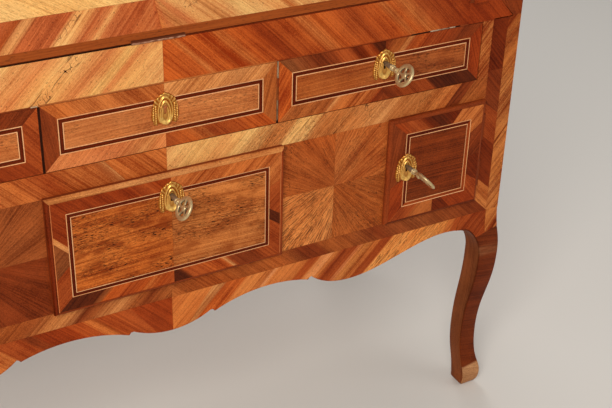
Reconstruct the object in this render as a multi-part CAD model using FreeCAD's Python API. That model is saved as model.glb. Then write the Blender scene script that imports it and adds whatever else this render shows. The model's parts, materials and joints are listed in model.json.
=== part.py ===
import FreeCAD, Part
import math
import os

# Slant-front desk on cabriole legs. Millimetres, +Z up, +X to the right, the front faces -Y.
# While the pieces are drawn, Y = 0 is the front plane of the case and Z = 0 is the floor.
# Each piece is moved back by SHIFT when it is written, so that the origin is at the bottom centre.

Vector = FreeCAD.Vector

# Case
WIDTH = 1057.0
DEPTH = 500.0
TOP_HEIGHT = 1003.0
HINGE_HEIGHT = 690.0
TOP_T = 20.0
SIDE_T = 18.0
BACK_T = 12.0
BOARD_T = 18.0
DUST_BOARD_T = 12.0
RAIL_T = 22.0

# Posts and legs
POST_W = 64.0
POST_D = 44.0
KNEE_OUT = 6.5
KNEE_HEIGHT = 258.0
KNEE_W = 36.5
ANKLE_IN = 7.5
ANKLE_HEIGHT = 105.0
ANKLE_W = 29.3
TOE_OUT = 3.0
TOE_HEIGHT = 24.0
FOOT_W = 33.3
SOLE_IN = 8.5
SWELL_PULL = 0.45
ANKLE_PULL = 0.75

# Heights of the front, from the lid's hinge line down
FRIEZE_H = 55.0
FRIEZE_DRAWER_H = 85.0
MID_RAIL_H = 40.0
LOWER_OPENING_H = 144.0
BASE_RAIL_H = 32.0

# Widths along the front
CENTRE_DRAWER_W = 300.0
FRONT_GAP = 3.0
DRAWER_GUIDE_T = 12.0
LOWER_DRAWER_W = 298.0
PARQUETRY_W = 181.0
PARTITION_T = 18.0

# Scalloped apron: drops below the base rail, and places along X
LOBE_DROP = 54.0
NOTCH_DROP = 38.0
CUSP_DROP = 43.0
ARCH_DROP = 26.5
ARCH_END_DROP = 36.0
OUTER_NOTCH_DROP = 31.0
APRON_END_DROP = 27.0
NOTCH_X = 57.0
ARCH_X = 135.0
OUTER_NOTCH_X = 208.0
OUTER_LOBE_X = 277.0
OUTER_ARCH_IN = 21.0
CUSP_STEP = 4.0
SIDE_ARCH_DROP = 8.0
SIDE_LOBE_DROP = 34.0

# Lid
LID_SLOPE = 56.0
LID_T = 20.0
NOSING_H = 11.0
LID_JOINT = 1.0
LID_SEAT_GAP = 0.4
TOP_NOSE_H = 9.0

# Drawers and doors
FRIEZE_FRONT_T = 20.0
LIP_PROUD = 10.5
DOOR_LIP_PROUD = 7.5
LIP_OVERLAP = 9.0
HINGE_LIP_OVERLAP = 15.5
LIP_ROUND = 5.0
PLUG_DEPTH = 8.0
DRAWER_BACK_ROOM = 48.0
DRAWER_SIDE_T = 8.0
DRAWER_BOTTOM_T = 5.0
DRAWER_BOTTOM_RISE = 6.0
FRIEZE_BOX_H = 74.0
LOWER_BOX_H = 122.0
FRONT_CLEARANCE = 0.8
SLIDE_CLEARANCE = 0.3

# Pigeonhole gallery behind the lid
GALLERY_DEPTH = 188.0
GALLERY_DRAWER_H = 62.0
GALLERY_SHELF_T = 10.0
GALLERY_WALL_T = 8.0
GALLERY_DRAWERS = 3
PIGEONHOLES = 6
GALLERY_FRONT_T = 12.0
GALLERY_DRAWER_LENGTH = 176.0
KNOB_R = 7.0
KNOB_NECK_R = 3.0
KNOB_REACH = 14.0

# Lopers
LOPER_W = 22.0
LOPER_H = 18.0
LOPER_LENGTH = 320.0
LOPER_END_IN = 2.5
LOPER_GUIDE_WALL = 6.0
LOPER_GUIDE_H = 24.0

# Hinges
LEAF_T = 1.2
BARREL_R = 2.5
PIN_R = 1.2
PIN_CLEARANCE = 0.05
KNUCKLE_GAP = 0.2
BARREL_RELIEF = 0.4
LID_HINGE_L = 66.0
LID_HINGE_LEFT = 5.0
LID_HINGE_FROM_LOPER = 7.0
LID_LEAF_LOWER = 16.0
LID_LEAF_UPPER = 11.0
DOOR_HINGE_L = 40.0
DOOR_HINGE_INSET = 24.0
DOOR_LEAF = 13.0
DOOR_BARREL_OUT = 2.8

# Locks, keys and escutcheons
ESCUTCHEON_W = 38.0
ESCUTCHEON_H = 47.0
ESCUTCHEON_T = 2.0
ESCUTCHEON_DROP = 4.0
LOCK_W = 46.0
LOCK_BELOW = 20.0
LOCK_ABOVE = 9.0
LOCK_T = 11.0
KEY_R = 2.5
KEYHOLE_R = 3.2
KEYHOLE_SLOT_W = 3.0
KEYHOLE_SLOT_H = 8.5
KEY_BIT_REACH = 7.0
KEY_BIT_W = 2.2
KEY_BIT_L = 6.0
KEY_BOW_R = 16.0
KEY_SHAFT_LAP = 2.5
KEY_BOW_T = 4.0
KEY_BOW_HOLE_R = 4.8
KEY_BOW_HOLE_AT = 7.6
BOLT_W = 11.0
BOLT_T = 5.0
BOLT_ASIDE = 14.5
BOLT_TAIL = 8.0
BOLT_THROW = 8.0
BOLT_CLEARANCE = 0.3
BOLT_SHY = 1.0
DOOR_KEYHOLE_IN = 29.5
DOOR_KEYHOLE_UP = 8.0
LOWER_KEYHOLE_DOWN = 29.0
FRIEZE_KEYHOLE_DOWN = 31.0
FRIEZE_KEY_STANDOFF = 45.0
LOWER_KEY_STANDOFF = 36.0
DOOR_KEY_STANDOFF = 46.0
KEY_TURN = 32.0
DOOR_KEY_TURN = -41.0
LID_KEYHOLE_DOWN = 38.0

# Worked out from the driving dimensions
HALF = WIDTH / 2
OPENING_X = HALF - POST_W
INNER_X = HALF - SIDE_T
DRAWER_TOP = HINGE_HEIGHT - FRIEZE_H
DRAWER_BOTTOM = DRAWER_TOP - FRIEZE_DRAWER_H
LOWER_TOP = DRAWER_BOTTOM - MID_RAIL_H
LOWER_BOTTOM = LOWER_TOP - LOWER_OPENING_H
BASE = LOWER_BOTTOM - BASE_RAIL_H
LOWER_HALF = LOWER_DRAWER_W / 2
DOOR_X = LOWER_HALF + PARQUETRY_W
BACK_Y = DEPTH - BACK_T
DRAWER_END = BACK_Y - DRAWER_BACK_ROOM
GUIDE_X = CENTRE_DRAWER_W / 2 + FRONT_GAP / 2
SLOPE = math.radians(LID_SLOPE)
AXIS_Z = HINGE_HEIGHT + LID_JOINT / 2
LID_BOTTOM = HINGE_HEIGHT + LID_JOINT
LID_FOOT = LID_BOTTOM + NOSING_H
UP_SLOPE = Vector(0, math.cos(SLOPE), math.sin(SLOPE))
INTO_LID = Vector(0, math.sin(SLOPE), -math.cos(SLOPE))
LID_LENGTH = (TOP_HEIGHT - TOP_NOSE_H - LID_FOOT) / math.sin(SLOPE)
BED_TOP = AXIS_Z + LID_T - NOSING_H * math.cos(SLOPE) - LID_JOINT / 2 * math.cos(SLOPE)
BED_BOTTOM = BED_TOP - BOARD_T
OPEN_LID_UNDERSIDE = BED_TOP - LID_T
TOP_UNDERSIDE = TOP_HEIGHT - TOP_T
GALLERY_Y = BACK_Y - GALLERY_DEPTH
SHELF_Z = BED_TOP + GALLERY_DRAWER_H
FRONT_REACH = DOOR_LIP_PROUD + ESCUTCHEON_T + DOOR_KEY_STANDOFF + KEY_BOW_R
SHIFT = (FRONT_REACH - DEPTH - KNEE_OUT) / 2


def box(x0, x1, y0, y1, z0, z1):
    """A board given by its limits along X, Y and Z."""
    return Part.makeBox(x1 - x0, y1 - y0, z1 - z0, Vector(x0, y0, z0))


def polygon(points):
    """A flat face with straight edges through the points."""
    return Part.Face(Part.makePolygon(points + points[:1]))


def side_prism(outline, x0, x1):
    """An outline of (y, z) pairs carried along X."""
    return polygon([Vector(x0, y, z) for y, z in outline]).extrude(Vector(x1 - x0, 0, 0))


def mirrored(shape):
    """The same piece for the other end of the desk."""
    return shape.mirror(Vector(0, 0, 0), Vector(1, 0, 0))


def pair(shape):
    """A piece and its mirror image, as two solids."""
    return [mirrored(shape), shape]


def smooth(points):
    """A smooth edge through the points."""
    curve = Part.BSplineCurve()
    curve.interpolate(points)
    return curve.toShape()


def arc(start, middle, end):
    return Part.Arc(start, middle, end).toShape()


def line(start, end):
    return Part.LineSegment(start, end).toShape()


def bezier(points):
    curve = Part.BezierCurve()
    curve.setPoles(points)
    return curve.toShape()


def swell(start, end, start_pull, end_pull):
    """An S-shaped edge that leaves and arrives upright. Each pull is a share of the height."""
    rise = end.z - start.z
    return bezier([start, start + Vector(0, 0, rise * start_pull), end - Vector(0, 0, rise * end_pull), end])


def rod_along(axis, radius, length, start):
    """A round bar from a start point along an axis."""
    return Part.makeCylinder(radius, length, start, axis)


def save(name, *solids):
    """Write one node, in the desk's own frame."""
    shape = solids[0] if len(solids) == 1 else Part.makeCompound(list(solids))
    shape.translated(Vector(0, SHIFT, 0)).exportStep(f"parts/{name}.step")


def lid_inner_y(z, gap=0.0):
    """Where the closed lid's inner face is, at a height, with a gap behind it."""
    return (LID_T + gap) / math.sin(SLOPE) + (z - LID_FOOT) / math.tan(SLOPE)


# Locks. Each is drawn about its keyhole, with the bolt moving up, +Z, and the key along Y.

def keyhole(y0, y1):
    """The round hole with its slot, as a cutter."""
    hole = rod_along(Vector(0, 1, 0), KEYHOLE_R, y1 - y0, Vector(0, y0, 0))
    slot = box(-KEYHOLE_SLOT_W / 2, KEYHOLE_SLOT_W / 2, y0, y1, -KEYHOLE_SLOT_H, 0)
    return hole.fuse(slot)


def bolt_limits(edge, back):
    """The bolt's box at rest: beside the key, and just short of the edge that it comes out of."""
    x0 = BOLT_ASIDE - BOLT_W / 2
    y0 = back - LOCK_T / 2 - BOLT_T / 2
    return (x0, x0 + BOLT_W, y0, y0 + BOLT_T, -BOLT_TAIL, edge - BOLT_SHY)


def grown(limits, gap):
    """The same box, wider by a gap on the four sides along the bolt's way."""
    x0, x1, y0, y1, z0, z1 = limits
    return (x0 - gap, x1 + gap, y0 - gap, y1 + gap, z0, z1)


def lock_recess(edge, back):
    """What is cut out of a front for the lock case and the bolt."""
    case = box(-LOCK_W / 2, LOCK_W / 2, back - LOCK_T, back, -LOCK_BELOW, LOCK_ABOVE)
    x0, x1, y0, y1, z0, z1 = grown(bolt_limits(edge, back), BOLT_CLEARANCE)
    way = box(x0, x1, y0, y1, z0, edge + BOLT_THROW)
    return case.fuse(way)


def lock_case(edge, back):
    """A box with a way for the bolt, a bore for the key and a hollow where the bit turns."""
    case = box(-LOCK_W / 2, LOCK_W / 2, back - LOCK_T, back, -LOCK_BELOW, LOCK_ABOVE)
    x0, x1, y0, y1, z0, z1 = grown(bolt_limits(edge, back), BOLT_CLEARANCE)
    way = box(x0, x1, y0, y1, z0 - BOLT_CLEARANCE, LOCK_ABOVE + BOLT_THROW)
    bore_r = KEY_R + PIN_CLEARANCE
    bore = rod_along(Vector(0, 1, 0), bore_r, LOCK_T, Vector(0, back - LOCK_T, 0))
    hollow_r = KEY_BIT_REACH + BOLT_CLEARANCE
    hollow_l = KEY_BIT_L + 2 * BOLT_CLEARANCE
    hollow = rod_along(Vector(0, 1, 0), hollow_r, hollow_l, Vector(0, back - LOCK_T / 2 - hollow_l / 2, 0))
    return case.cut(way).cut(bore).cut(hollow)


def bolt_mortise(edge, back):
    """The pocket in the frame that takes the thrown bolt."""
    x0, x1, y0, y1, z0, z1 = grown(bolt_limits(edge, back), 2 * BOLT_CLEARANCE)
    return box(x0, x1, y0, y1, edge, z1 + BOLT_THROW + BOLT_SHY + BOLT_CLEARANCE)


def key(face, back, standoff, turn):
    """Shaft, bit and pierced bow. The bow stands on edge and is turned about the shaft."""
    bow_y = face - ESCUTCHEON_T - standoff
    shaft_y = bow_y + KEY_BOW_R - KEY_SHAFT_LAP
    shaft = rod_along(Vector(0, 1, 0), KEY_R, back - shaft_y, Vector(0, shaft_y, 0))
    bit_y = back - LOCK_T / 2 - KEY_BIT_L / 2
    bit = box(-KEY_BIT_W / 2, KEY_BIT_W / 2, bit_y, bit_y + KEY_BIT_L, -KEY_BIT_REACH, 0)
    bow = rod_along(Vector(1, 0, 0), KEY_BOW_R, KEY_BOW_T, Vector(-KEY_BOW_T / 2, bow_y, 0))
    for quarter in range(4):
        angle = math.radians(45 + 90 * quarter)
        at = Vector(-KEY_BOW_T, bow_y + KEY_BOW_HOLE_AT * math.cos(angle), KEY_BOW_HOLE_AT * math.sin(angle))
        bow = bow.cut(rod_along(Vector(1, 0, 0), KEY_BOW_HOLE_R, 2 * KEY_BOW_T, at))
    bow.rotate(Vector(0, 0, 0), Vector(0, 1, 0), turn)
    return shaft.fuse([bit, bow])


def escutcheon(face):
    """An oval plate, pierced by the keyhole a little above its middle."""
    middle = Vector(0, face, -ESCUTCHEON_DROP)
    top = middle + Vector(0, 0, ESCUTCHEON_H / 2)
    side = middle + Vector(ESCUTCHEON_W / 2, 0, 0)
    oval = Part.Ellipse(top, side, middle).toShape()
    plate = Part.Face(Part.Wire([oval])).extrude(Vector(0, -ESCUTCHEON_T, 0))
    return plate.cut(keyhole(face - 2 * ESCUTCHEON_T, face + ESCUTCHEON_T))


def placed(shape, x, z, lying=False):
    """A lock piece at its keyhole. A lying one throws its bolt to -X."""
    moved = shape.copy()
    if lying:
        moved.rotate(Vector(0, 0, 0), Vector(0, 1, 0), -90)
    moved.translate(Vector(x, 0, z))
    return moved


# Hinges. Each is drawn with its pin along X, its leaves along +Y, the still leaf below Z = 0.

def barrel(x0, x1, radius):
    return rod_along(Vector(1, 0, 0), radius, x1 - x0, Vector(x0, 0, 0))


def hinge(length, still_depth, moving_depth, gap):
    """Still leaf, moving leaf and pin of a butt hinge, closed."""
    third = length / 6
    whole = barrel(-length / 2, length / 2, BARREL_R + KNUCKLE_GAP)
    bore = barrel(-length / 2, length / 2, PIN_R + PIN_CLEARANCE)
    middle = barrel(-third + KNUCKLE_GAP, third - KNUCKLE_GAP, BARREL_R)
    outer = [barrel(-length / 2, -third, BARREL_R), barrel(third, length / 2, BARREL_R)]
    still = box(-length / 2, length / 2, 0, still_depth, -gap / 2 - LEAF_T, -gap / 2)
    still = still.cut(barrel(-third, third, BARREL_R + KNUCKLE_GAP)).fuse(outer).cut(bore)
    moving = box(-length / 2, length / 2, 0, moving_depth, gap / 2, gap / 2 + LEAF_T)
    inner_leaf = box(-third + KNUCKLE_GAP, third - KNUCKLE_GAP, 0, moving_depth, gap / 2, gap / 2 + LEAF_T)
    moving = moving.cut(whole).fuse([inner_leaf, middle]).cut(bore)
    pin = barrel(-length / 2, length / 2, PIN_R)
    return still, moving, pin


def hinge_relief(length, depth, low, high):
    """What a hinge leaf and its barrel need cut out of the wood."""
    groove = barrel(-length / 2 - KNUCKLE_GAP, length / 2 + KNUCKLE_GAP, BARREL_R + BARREL_RELIEF)
    return groove.fuse(box(-length / 2, length / 2, 0, depth, low, high))


def at_lid(shape, x):
    return shape.translated(Vector(x, 0, AXIS_Z))


def at_right_door(shape, z):
    """Pin upright at the door lip's outer edge, leaves towards the door's middle."""
    matrix = FreeCAD.Matrix(0, -1, 0, DOOR_BARREL_X, 0, 0, -1, DOOR_BARREL_Y, 1, 0, 0, z, 0, 0, 0, 1)
    moved = shape.copy()
    moved.Placement = FreeCAD.Placement(matrix).multiply(shape.Placement)
    return moved


DOOR_LIP_RIGHT = OPENING_X + HINGE_LIP_OVERLAP
DOOR_BARREL_X = DOOR_LIP_RIGHT + DOOR_BARREL_OUT
DOOR_BARREL_Y = -SLIDE_CLEARANCE / 2
OUTER_HINGE_X = OPENING_X - LOPER_END_IN - LOPER_W - LID_HINGE_FROM_LOPER - LID_HINGE_L / 2
LID_HINGES_X = [-OUTER_HINGE_X, -LID_HINGE_LEFT, OUTER_HINGE_X]
DOOR_HINGES_Z = [
    LOWER_BOTTOM - LIP_OVERLAP + DOOR_HINGE_INSET + DOOR_HINGE_L / 2,
    LOWER_TOP + LIP_OVERLAP - DOOR_HINGE_INSET - DOOR_HINGE_L / 2,
]

# Places of the keyholes
FRIEZE_KEY_Z = DRAWER_TOP - FRIEZE_KEYHOLE_DOWN
FRIEZE_KEY_X = (GUIDE_X + FRONT_GAP / 2 + OPENING_X) / 2
LOWER_KEY_Z = LOWER_TOP + LIP_OVERLAP - LOWER_KEYHOLE_DOWN
DOOR_KEY_X = DOOR_X - LIP_OVERLAP + DOOR_KEYHOLE_IN
DOOR_KEY_Z = (LOWER_TOP + LOWER_BOTTOM) / 2 + DOOR_KEYHOLE_UP
FRIEZE_EDGE = DRAWER_TOP - FRONT_CLEARANCE - FRIEZE_KEY_Z
LOWER_EDGE = LOWER_TOP - FRONT_CLEARANCE - LOWER_KEY_Z
DOOR_EDGE = DOOR_KEY_X - DOOR_X - FRONT_CLEARANCE


# Legs, sawn from two faces: the same outline seen from the front and from the side.

def leg_outline(post):
    """The leg's outline as (inward, height): post is the size of the block above it."""
    knee_inner = KNEE_W - KNEE_OUT
    ankle_inner = ANKLE_IN + ANKLE_W
    foot_inner = FOOT_W - TOE_OUT
    spring = BASE - APRON_END_DROP
    shoulder = Vector(0, 0, BASE)
    knee = Vector(-KNEE_OUT, 0, KNEE_HEIGHT)
    ankle = Vector(ANKLE_IN, 0, ANKLE_HEIGHT)
    toe = Vector(-TOE_OUT, 0, TOE_HEIGHT)
    sole = Vector(SOLE_IN, 0, 0)
    heel = Vector(foot_inner, 0, 0)
    calf = Vector(ankle_inner, 0, ANKLE_HEIGHT)
    hollow = Vector(knee_inner, 0, KNEE_HEIGHT)
    ear = bezier([
        hollow,
        Vector(knee_inner, 0, (KNEE_HEIGHT + spring) / 2),
        Vector((knee_inner + post) / 2, 0, spring),
        Vector(post, 0, spring),
    ])
    edges = [
        swell(shoulder, knee, SWELL_PULL, SWELL_PULL),
        swell(knee, ankle, SWELL_PULL, SWELL_PULL),
        swell(ankle, toe, ANKLE_PULL, 1 - ANKLE_PULL),
        bezier([toe, Vector(-TOE_OUT, 0, 0), sole]),
        line(sole, heel),
        swell(heel, calf, SWELL_PULL, SWELL_PULL),
        swell(calf, hollow, SWELL_PULL, SWELL_PULL),
        ear,
        line(Vector(post, 0, spring), Vector(post, 0, HINGE_HEIGHT)),
        line(Vector(post, 0, HINGE_HEIGHT), Vector(0, 0, HINGE_HEIGHT)),
        line(Vector(0, 0, HINGE_HEIGHT), Vector(0, 0, BASE)),
    ]
    return Part.Face(Part.Wire(edges))


def leg(post_w, post_d):
    """A right front leg with its post: the two sawn outlines crossed."""
    reach = max(post_w, post_d) + KNEE_OUT
    front = leg_outline(post_w).extrude(Vector(0, 2 * reach, 0)).translated(Vector(0, -reach / 2, 0))
    side = leg_outline(post_d).extrude(Vector(0, 2 * reach, 0)).translated(Vector(0, -reach / 2, 0))
    side.rotate(Vector(0, 0, 0), Vector(0, 0, 1), 90)
    side = side.mirror(Vector(0, 0, 0), Vector(1, 0, 0))
    crossed = front.common(side)
    corner = crossed.mirror(Vector(0, 0, 0), Vector(1, 0, 0))
    return corner.translated(Vector(HALF, 0, 0))


def build_legs():
    front = leg(POST_W, POST_D)
    back = leg(POST_D, POST_D).mirror(Vector(0, DEPTH / 2, 0), Vector(0, 1, 0))
    for z in DOOR_HINGES_Z:
        low = -SLIDE_CLEARANCE / 2 - LEAF_T
        relief = hinge_relief(DOOR_HINGE_L, DOOR_LEAF, low, -SLIDE_CLEARANCE / 2)
        front = front.cut(at_right_door(relief, z))
    save("leg_front_right", front)
    save("leg_front_left", mirrored(front))
    save("leg_back_right", back)
    save("leg_back_left", mirrored(back))


# Case

def build_case():
    slope_foot = lid_inner_y(HINGE_HEIGHT, LID_SEAT_GAP)
    slope_top = lid_inner_y(TOP_UNDERSIDE, LID_SEAT_GAP)
    spring = BASE - APRON_END_DROP
    far = DEPTH - POST_D
    middle = DEPTH / 2
    arch = (3 * POST_D + far) / 4
    points = [(POST_D, spring), (arch, BASE - SIDE_ARCH_DROP), (middle, BASE - SIDE_LOBE_DROP)]
    points += [(DEPTH - y, z) for y, z in points[1::-1]]
    edges = [smooth([Vector(SIDE_T, y, z) for y, z in points])]
    rest = [
        (far, spring),
        (far, HINGE_HEIGHT),
        (DEPTH, HINGE_HEIGHT),
        (DEPTH, TOP_UNDERSIDE),
        (slope_top, TOP_UNDERSIDE),
        (slope_foot, HINGE_HEIGHT),
        (POST_D, HINGE_HEIGHT),
        (POST_D, spring),
    ]
    for (y0, z0), (y1, z1) in zip(rest, rest[1:]):
        edges.append(line(Vector(SIDE_T, y0, z0), Vector(SIDE_T, y1, z1)))
    panel = Part.Face(Part.Wire(edges)).extrude(Vector(-SIDE_T, 0, 0)).translated(Vector(INNER_X, 0, 0))
    save("right_side_panel", panel)
    save("left_side_panel", mirrored(panel))

    back_low = box(-HALF + POST_D, HALF - POST_D, BACK_Y, DEPTH, BASE, HINGE_HEIGHT)
    back_high = box(-INNER_X, INNER_X, BACK_Y, DEPTH, HINGE_HEIGHT, TOP_UNDERSIDE)
    save("back_panel", back_low.fuse(back_high).removeSplitter())

    # The top's front edge is cut square to the lid, so that the lid swings clear of it.
    end = Vector(0, 0, LID_FOOT) + UP_SLOPE * (LID_LENGTH + LID_JOINT)
    under = end + INTO_LID * ((end.z - TOP_UNDERSIDE) / math.cos(SLOPE))
    outline = [
        (under.y, TOP_UNDERSIDE),
        (end.y, end.z),
        (end.y, TOP_HEIGHT),
        (DEPTH, TOP_HEIGHT),
        (DEPTH, TOP_UNDERSIDE),
    ]
    save("top_board", side_prism(outline, -HALF, HALF))

    posts = [
        box(OPENING_X, HALF, 0, POST_D, 0, HINGE_HEIGHT),
        box(HALF - POST_D, HALF, DEPTH - POST_D, DEPTH, 0, HINGE_HEIGHT),
    ]
    posts += [mirrored(post) for post in posts]

    bed_outline = [
        (RAIL_T, BED_BOTTOM),
        (RAIL_T, HINGE_HEIGHT),
        (lid_inner_y(HINGE_HEIGHT, LID_JOINT), HINGE_HEIGHT),
        (lid_inner_y(BED_TOP, LID_JOINT), BED_TOP),
        (BACK_Y, BED_TOP),
        (BACK_Y, BED_BOTTOM),
    ]
    save("writing_bed", side_prism(bed_outline, -INNER_X, INNER_X).cut(posts))
    boards = [
        ("frieze_board", DRAWER_TOP, DRAWER_TOP + DUST_BOARD_T),
        ("middle_board", DRAWER_BOTTOM - BOARD_T, DRAWER_BOTTOM),
        ("bottom_board", LOWER_BOTTOM - BOARD_T, LOWER_BOTTOM),
    ]
    for name, low, high in boards:
        save(name, box(-INNER_X, INNER_X, RAIL_T, BACK_Y, low, high).cut(posts))

    guide = box(GUIDE_X - DRAWER_GUIDE_T / 2, GUIDE_X + DRAWER_GUIDE_T / 2,
                FRIEZE_FRONT_T + SLIDE_CLEARANCE, BACK_Y, DRAWER_BOTTOM, DRAWER_TOP)
    end_guide = box(OPENING_X, OPENING_X + DRAWER_GUIDE_T, POST_D, BACK_Y,
                    DRAWER_BOTTOM, DRAWER_BOTTOM + DRAWER_GUIDE_T)
    save("frieze_drawer_guides", *pair(guide), *pair(end_guide))
    low, high = LOWER_BOTTOM, DRAWER_BOTTOM - BOARD_T
    inner = box(LOWER_HALF, LOWER_HALF + PARTITION_T, RAIL_T, BACK_Y, low, high)
    outer = box(DOOR_X - PARTITION_T, DOOR_X, RAIL_T, BACK_Y, low, high)
    save("lower_partitions", *pair(inner), *pair(outer))


def apron_face():
    """The scalloped apron: a lobe at the centre, and to each side an arch, a lobe and a rise to the leg."""
    def at(x, drop):
        return Vector(x, 0, BASE - drop)

    cusp = at(NOTCH_X + CUSP_STEP, CUSP_DROP)
    arch_end = at(OUTER_NOTCH_X - CUSP_STEP, ARCH_END_DROP)
    outer_notch = at(OUTER_NOTCH_X, OUTER_NOTCH_DROP)
    end = at(OPENING_X, APRON_END_DROP)
    rise = OPENING_X - OUTER_ARCH_IN
    half = [
        line(at(NOTCH_X, NOTCH_DROP), cusp),
        arc(cusp, at(ARCH_X, ARCH_DROP), arch_end),
        line(arch_end, outer_notch),
        smooth([
            outer_notch,
            at((OUTER_NOTCH_X + OUTER_LOBE_X) / 2, (OUTER_NOTCH_DROP + 5 * LOBE_DROP) / 6),
            at(OUTER_LOBE_X, LOBE_DROP),
            at((OUTER_LOBE_X + rise) / 2, (ARCH_DROP + LOBE_DROP) / 2 - CUSP_STEP),
            at(rise, APRON_END_DROP - CUSP_STEP),
            end,
        ]),
        line(end, at(OPENING_X, 0)),
    ]
    lobe = arc(at(-NOTCH_X, NOTCH_DROP), at(0, LOBE_DROP), at(NOTCH_X, NOTCH_DROP))
    top = line(at(-OPENING_X, 0), at(OPENING_X, 0))
    edges = [lobe, top] + half + [mirrored(edge) for edge in half]
    return Part.Face(Part.Wire(Part.__sortEdges__(edges)))


def loper_opening():
    """The hole in the frieze that the right loper comes through."""
    x1 = OPENING_X - LOPER_END_IN + SLIDE_CLEARANCE
    z1 = OPEN_LID_UNDERSIDE
    x0 = x1 - LOPER_W - 2 * SLIDE_CLEARANCE
    return box(x0, x1, -RAIL_T, 2 * RAIL_T, z1 - LOPER_H - 2 * SLIDE_CLEARANCE, z1)


def build_front():
    frieze = box(-OPENING_X, OPENING_X, 0, RAIL_T, DRAWER_TOP, HINGE_HEIGHT)
    frieze = frieze.cut(pair(loper_opening()))
    relief = hinge_relief(LID_HINGE_L, LID_LEAF_LOWER, -LID_JOINT / 2 - LEAF_T, LID_JOINT)
    frieze = frieze.cut([at_lid(relief, x) for x in LID_HINGES_X])
    mortise = bolt_mortise(FRIEZE_EDGE, FRIEZE_FRONT_T)
    frieze = frieze.cut(placed(mortise, FRIEZE_KEY_X, FRIEZE_KEY_Z))
    save("frieze_rail", frieze)

    mid = box(-OPENING_X, OPENING_X, 0, RAIL_T, LOWER_TOP, DRAWER_BOTTOM)
    save("mid_rail", mid.cut(placed(bolt_mortise(LOWER_EDGE, PLUG_DEPTH), 0, LOWER_KEY_Z)))
    save("base_rail", box(-OPENING_X, OPENING_X, 0, RAIL_T, BASE, LOWER_BOTTOM))

    save("front_apron", apron_face().extrude(Vector(0, RAIL_T, 0)))

    panel = box(LOWER_HALF, DOOR_X, 0, RAIL_T, LOWER_BOTTOM, LOWER_TOP)
    mortise = placed(bolt_mortise(DOOR_EDGE, PLUG_DEPTH), DOOR_KEY_X, DOOR_KEY_Z, lying=True)
    save("parquetry_panels", mirrored(panel), panel.cut(mortise))


# Lid

def build_lid():
    corner = Vector(0, 0, LID_FOOT)
    section = [
        corner,
        corner + UP_SLOPE * LID_LENGTH,
        corner + UP_SLOPE * LID_LENGTH + INTO_LID * LID_T,
        corner + INTO_LID * LID_T,
    ]
    save("lid_board", side_prism([(p.y, p.z) for p in section], -HALF, HALF))

    tip = NOSING_H * math.tan(SLOPE)
    nosing = side_prism([(0, LID_BOTTOM), (0, LID_FOOT), (tip, LID_BOTTOM)], -HALF, HALF)
    relief = hinge_relief(LID_HINGE_L, LID_LEAF_UPPER, -LID_JOINT, LID_JOINT / 2 + LEAF_T)
    save("lid_nosing", nosing.cut([at_lid(relief, x) for x in LID_HINGES_X]))

    plate = escutcheon(0)
    plate.rotate(Vector(0, 0, 0), Vector(1, 0, 0), LID_SLOPE - 90)
    save("lid_escutcheon", plate.translated(corner + UP_SLOPE * (LID_LENGTH - LID_KEYHOLE_DOWN)))


def build_hinges():
    still, moving, pin = hinge(LID_HINGE_L, LID_LEAF_LOWER, LID_LEAF_UPPER, LID_JOINT)
    save("lid_hinge_lower_leaves", *[at_lid(still, x) for x in LID_HINGES_X])
    save("lid_hinge_upper_leaves", *[at_lid(moving, x) for x in LID_HINGES_X])
    pins = [at_lid(pin, x) for x in LID_HINGES_X]

    still, moving, pin = hinge(DOOR_HINGE_L, DOOR_LEAF, DOOR_LEAF, SLIDE_CLEARANCE)
    posts = [at_right_door(still, z) for z in DOOR_HINGES_Z]
    leaves = [at_right_door(moving, z) for z in DOOR_HINGES_Z]
    door_pins = [at_right_door(pin, z) for z in DOOR_HINGES_Z]
    save("door_hinge_post_leaves", *[mirrored(leaf) for leaf in posts], *posts)
    save("right_door_hinge_leaves", *leaves)
    save("left_door_hinge_leaves", *[mirrored(leaf) for leaf in leaves])
    save("hinge_pins", *pins, *door_pins, *[mirrored(pin) for pin in door_pins])


# Drawers and doors

def drawer_box(x0, x1, y0, y1, z0, height):
    """Two sides, a back and a raised bottom behind a drawer front."""
    t = DRAWER_SIDE_T
    floor = z0 + DRAWER_BOTTOM_RISE
    return [
        box(x0, x0 + t, y0, y1, z0, z0 + height),
        box(x1 - t, x1, y0, y1, z0, z0 + height),
        box(x0 + t, x1 - t, y1 - t, y1, z0, z0 + height),
        box(x0 + t, x1 - t, y0, y1 - t, floor, floor + DRAWER_BOTTOM_T),
    ]


def lipped_front(x0, x1, left_lip, right_lip, proud):
    """A front whose rounded lip stands proud and covers the edges of its opening."""
    face = box(x0 - left_lip, x1 + right_lip, -proud, -SLIDE_CLEARANCE,
               LOWER_BOTTOM - LIP_OVERLAP, LOWER_TOP + LIP_OVERLAP)
    rim = [edge for edge in face.Edges if edge.BoundBox.YMax < -proud + LIP_ROUND]
    face = face.makeFillet(LIP_ROUND, rim)
    plug = box(x0 + FRONT_CLEARANCE, x1 - FRONT_CLEARANCE, -SLIDE_CLEARANCE, PLUG_DEPTH,
               LOWER_BOTTOM + FRONT_CLEARANCE, LOWER_TOP - FRONT_CLEARANCE)
    return face.fuse(plug).removeSplitter()


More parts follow.
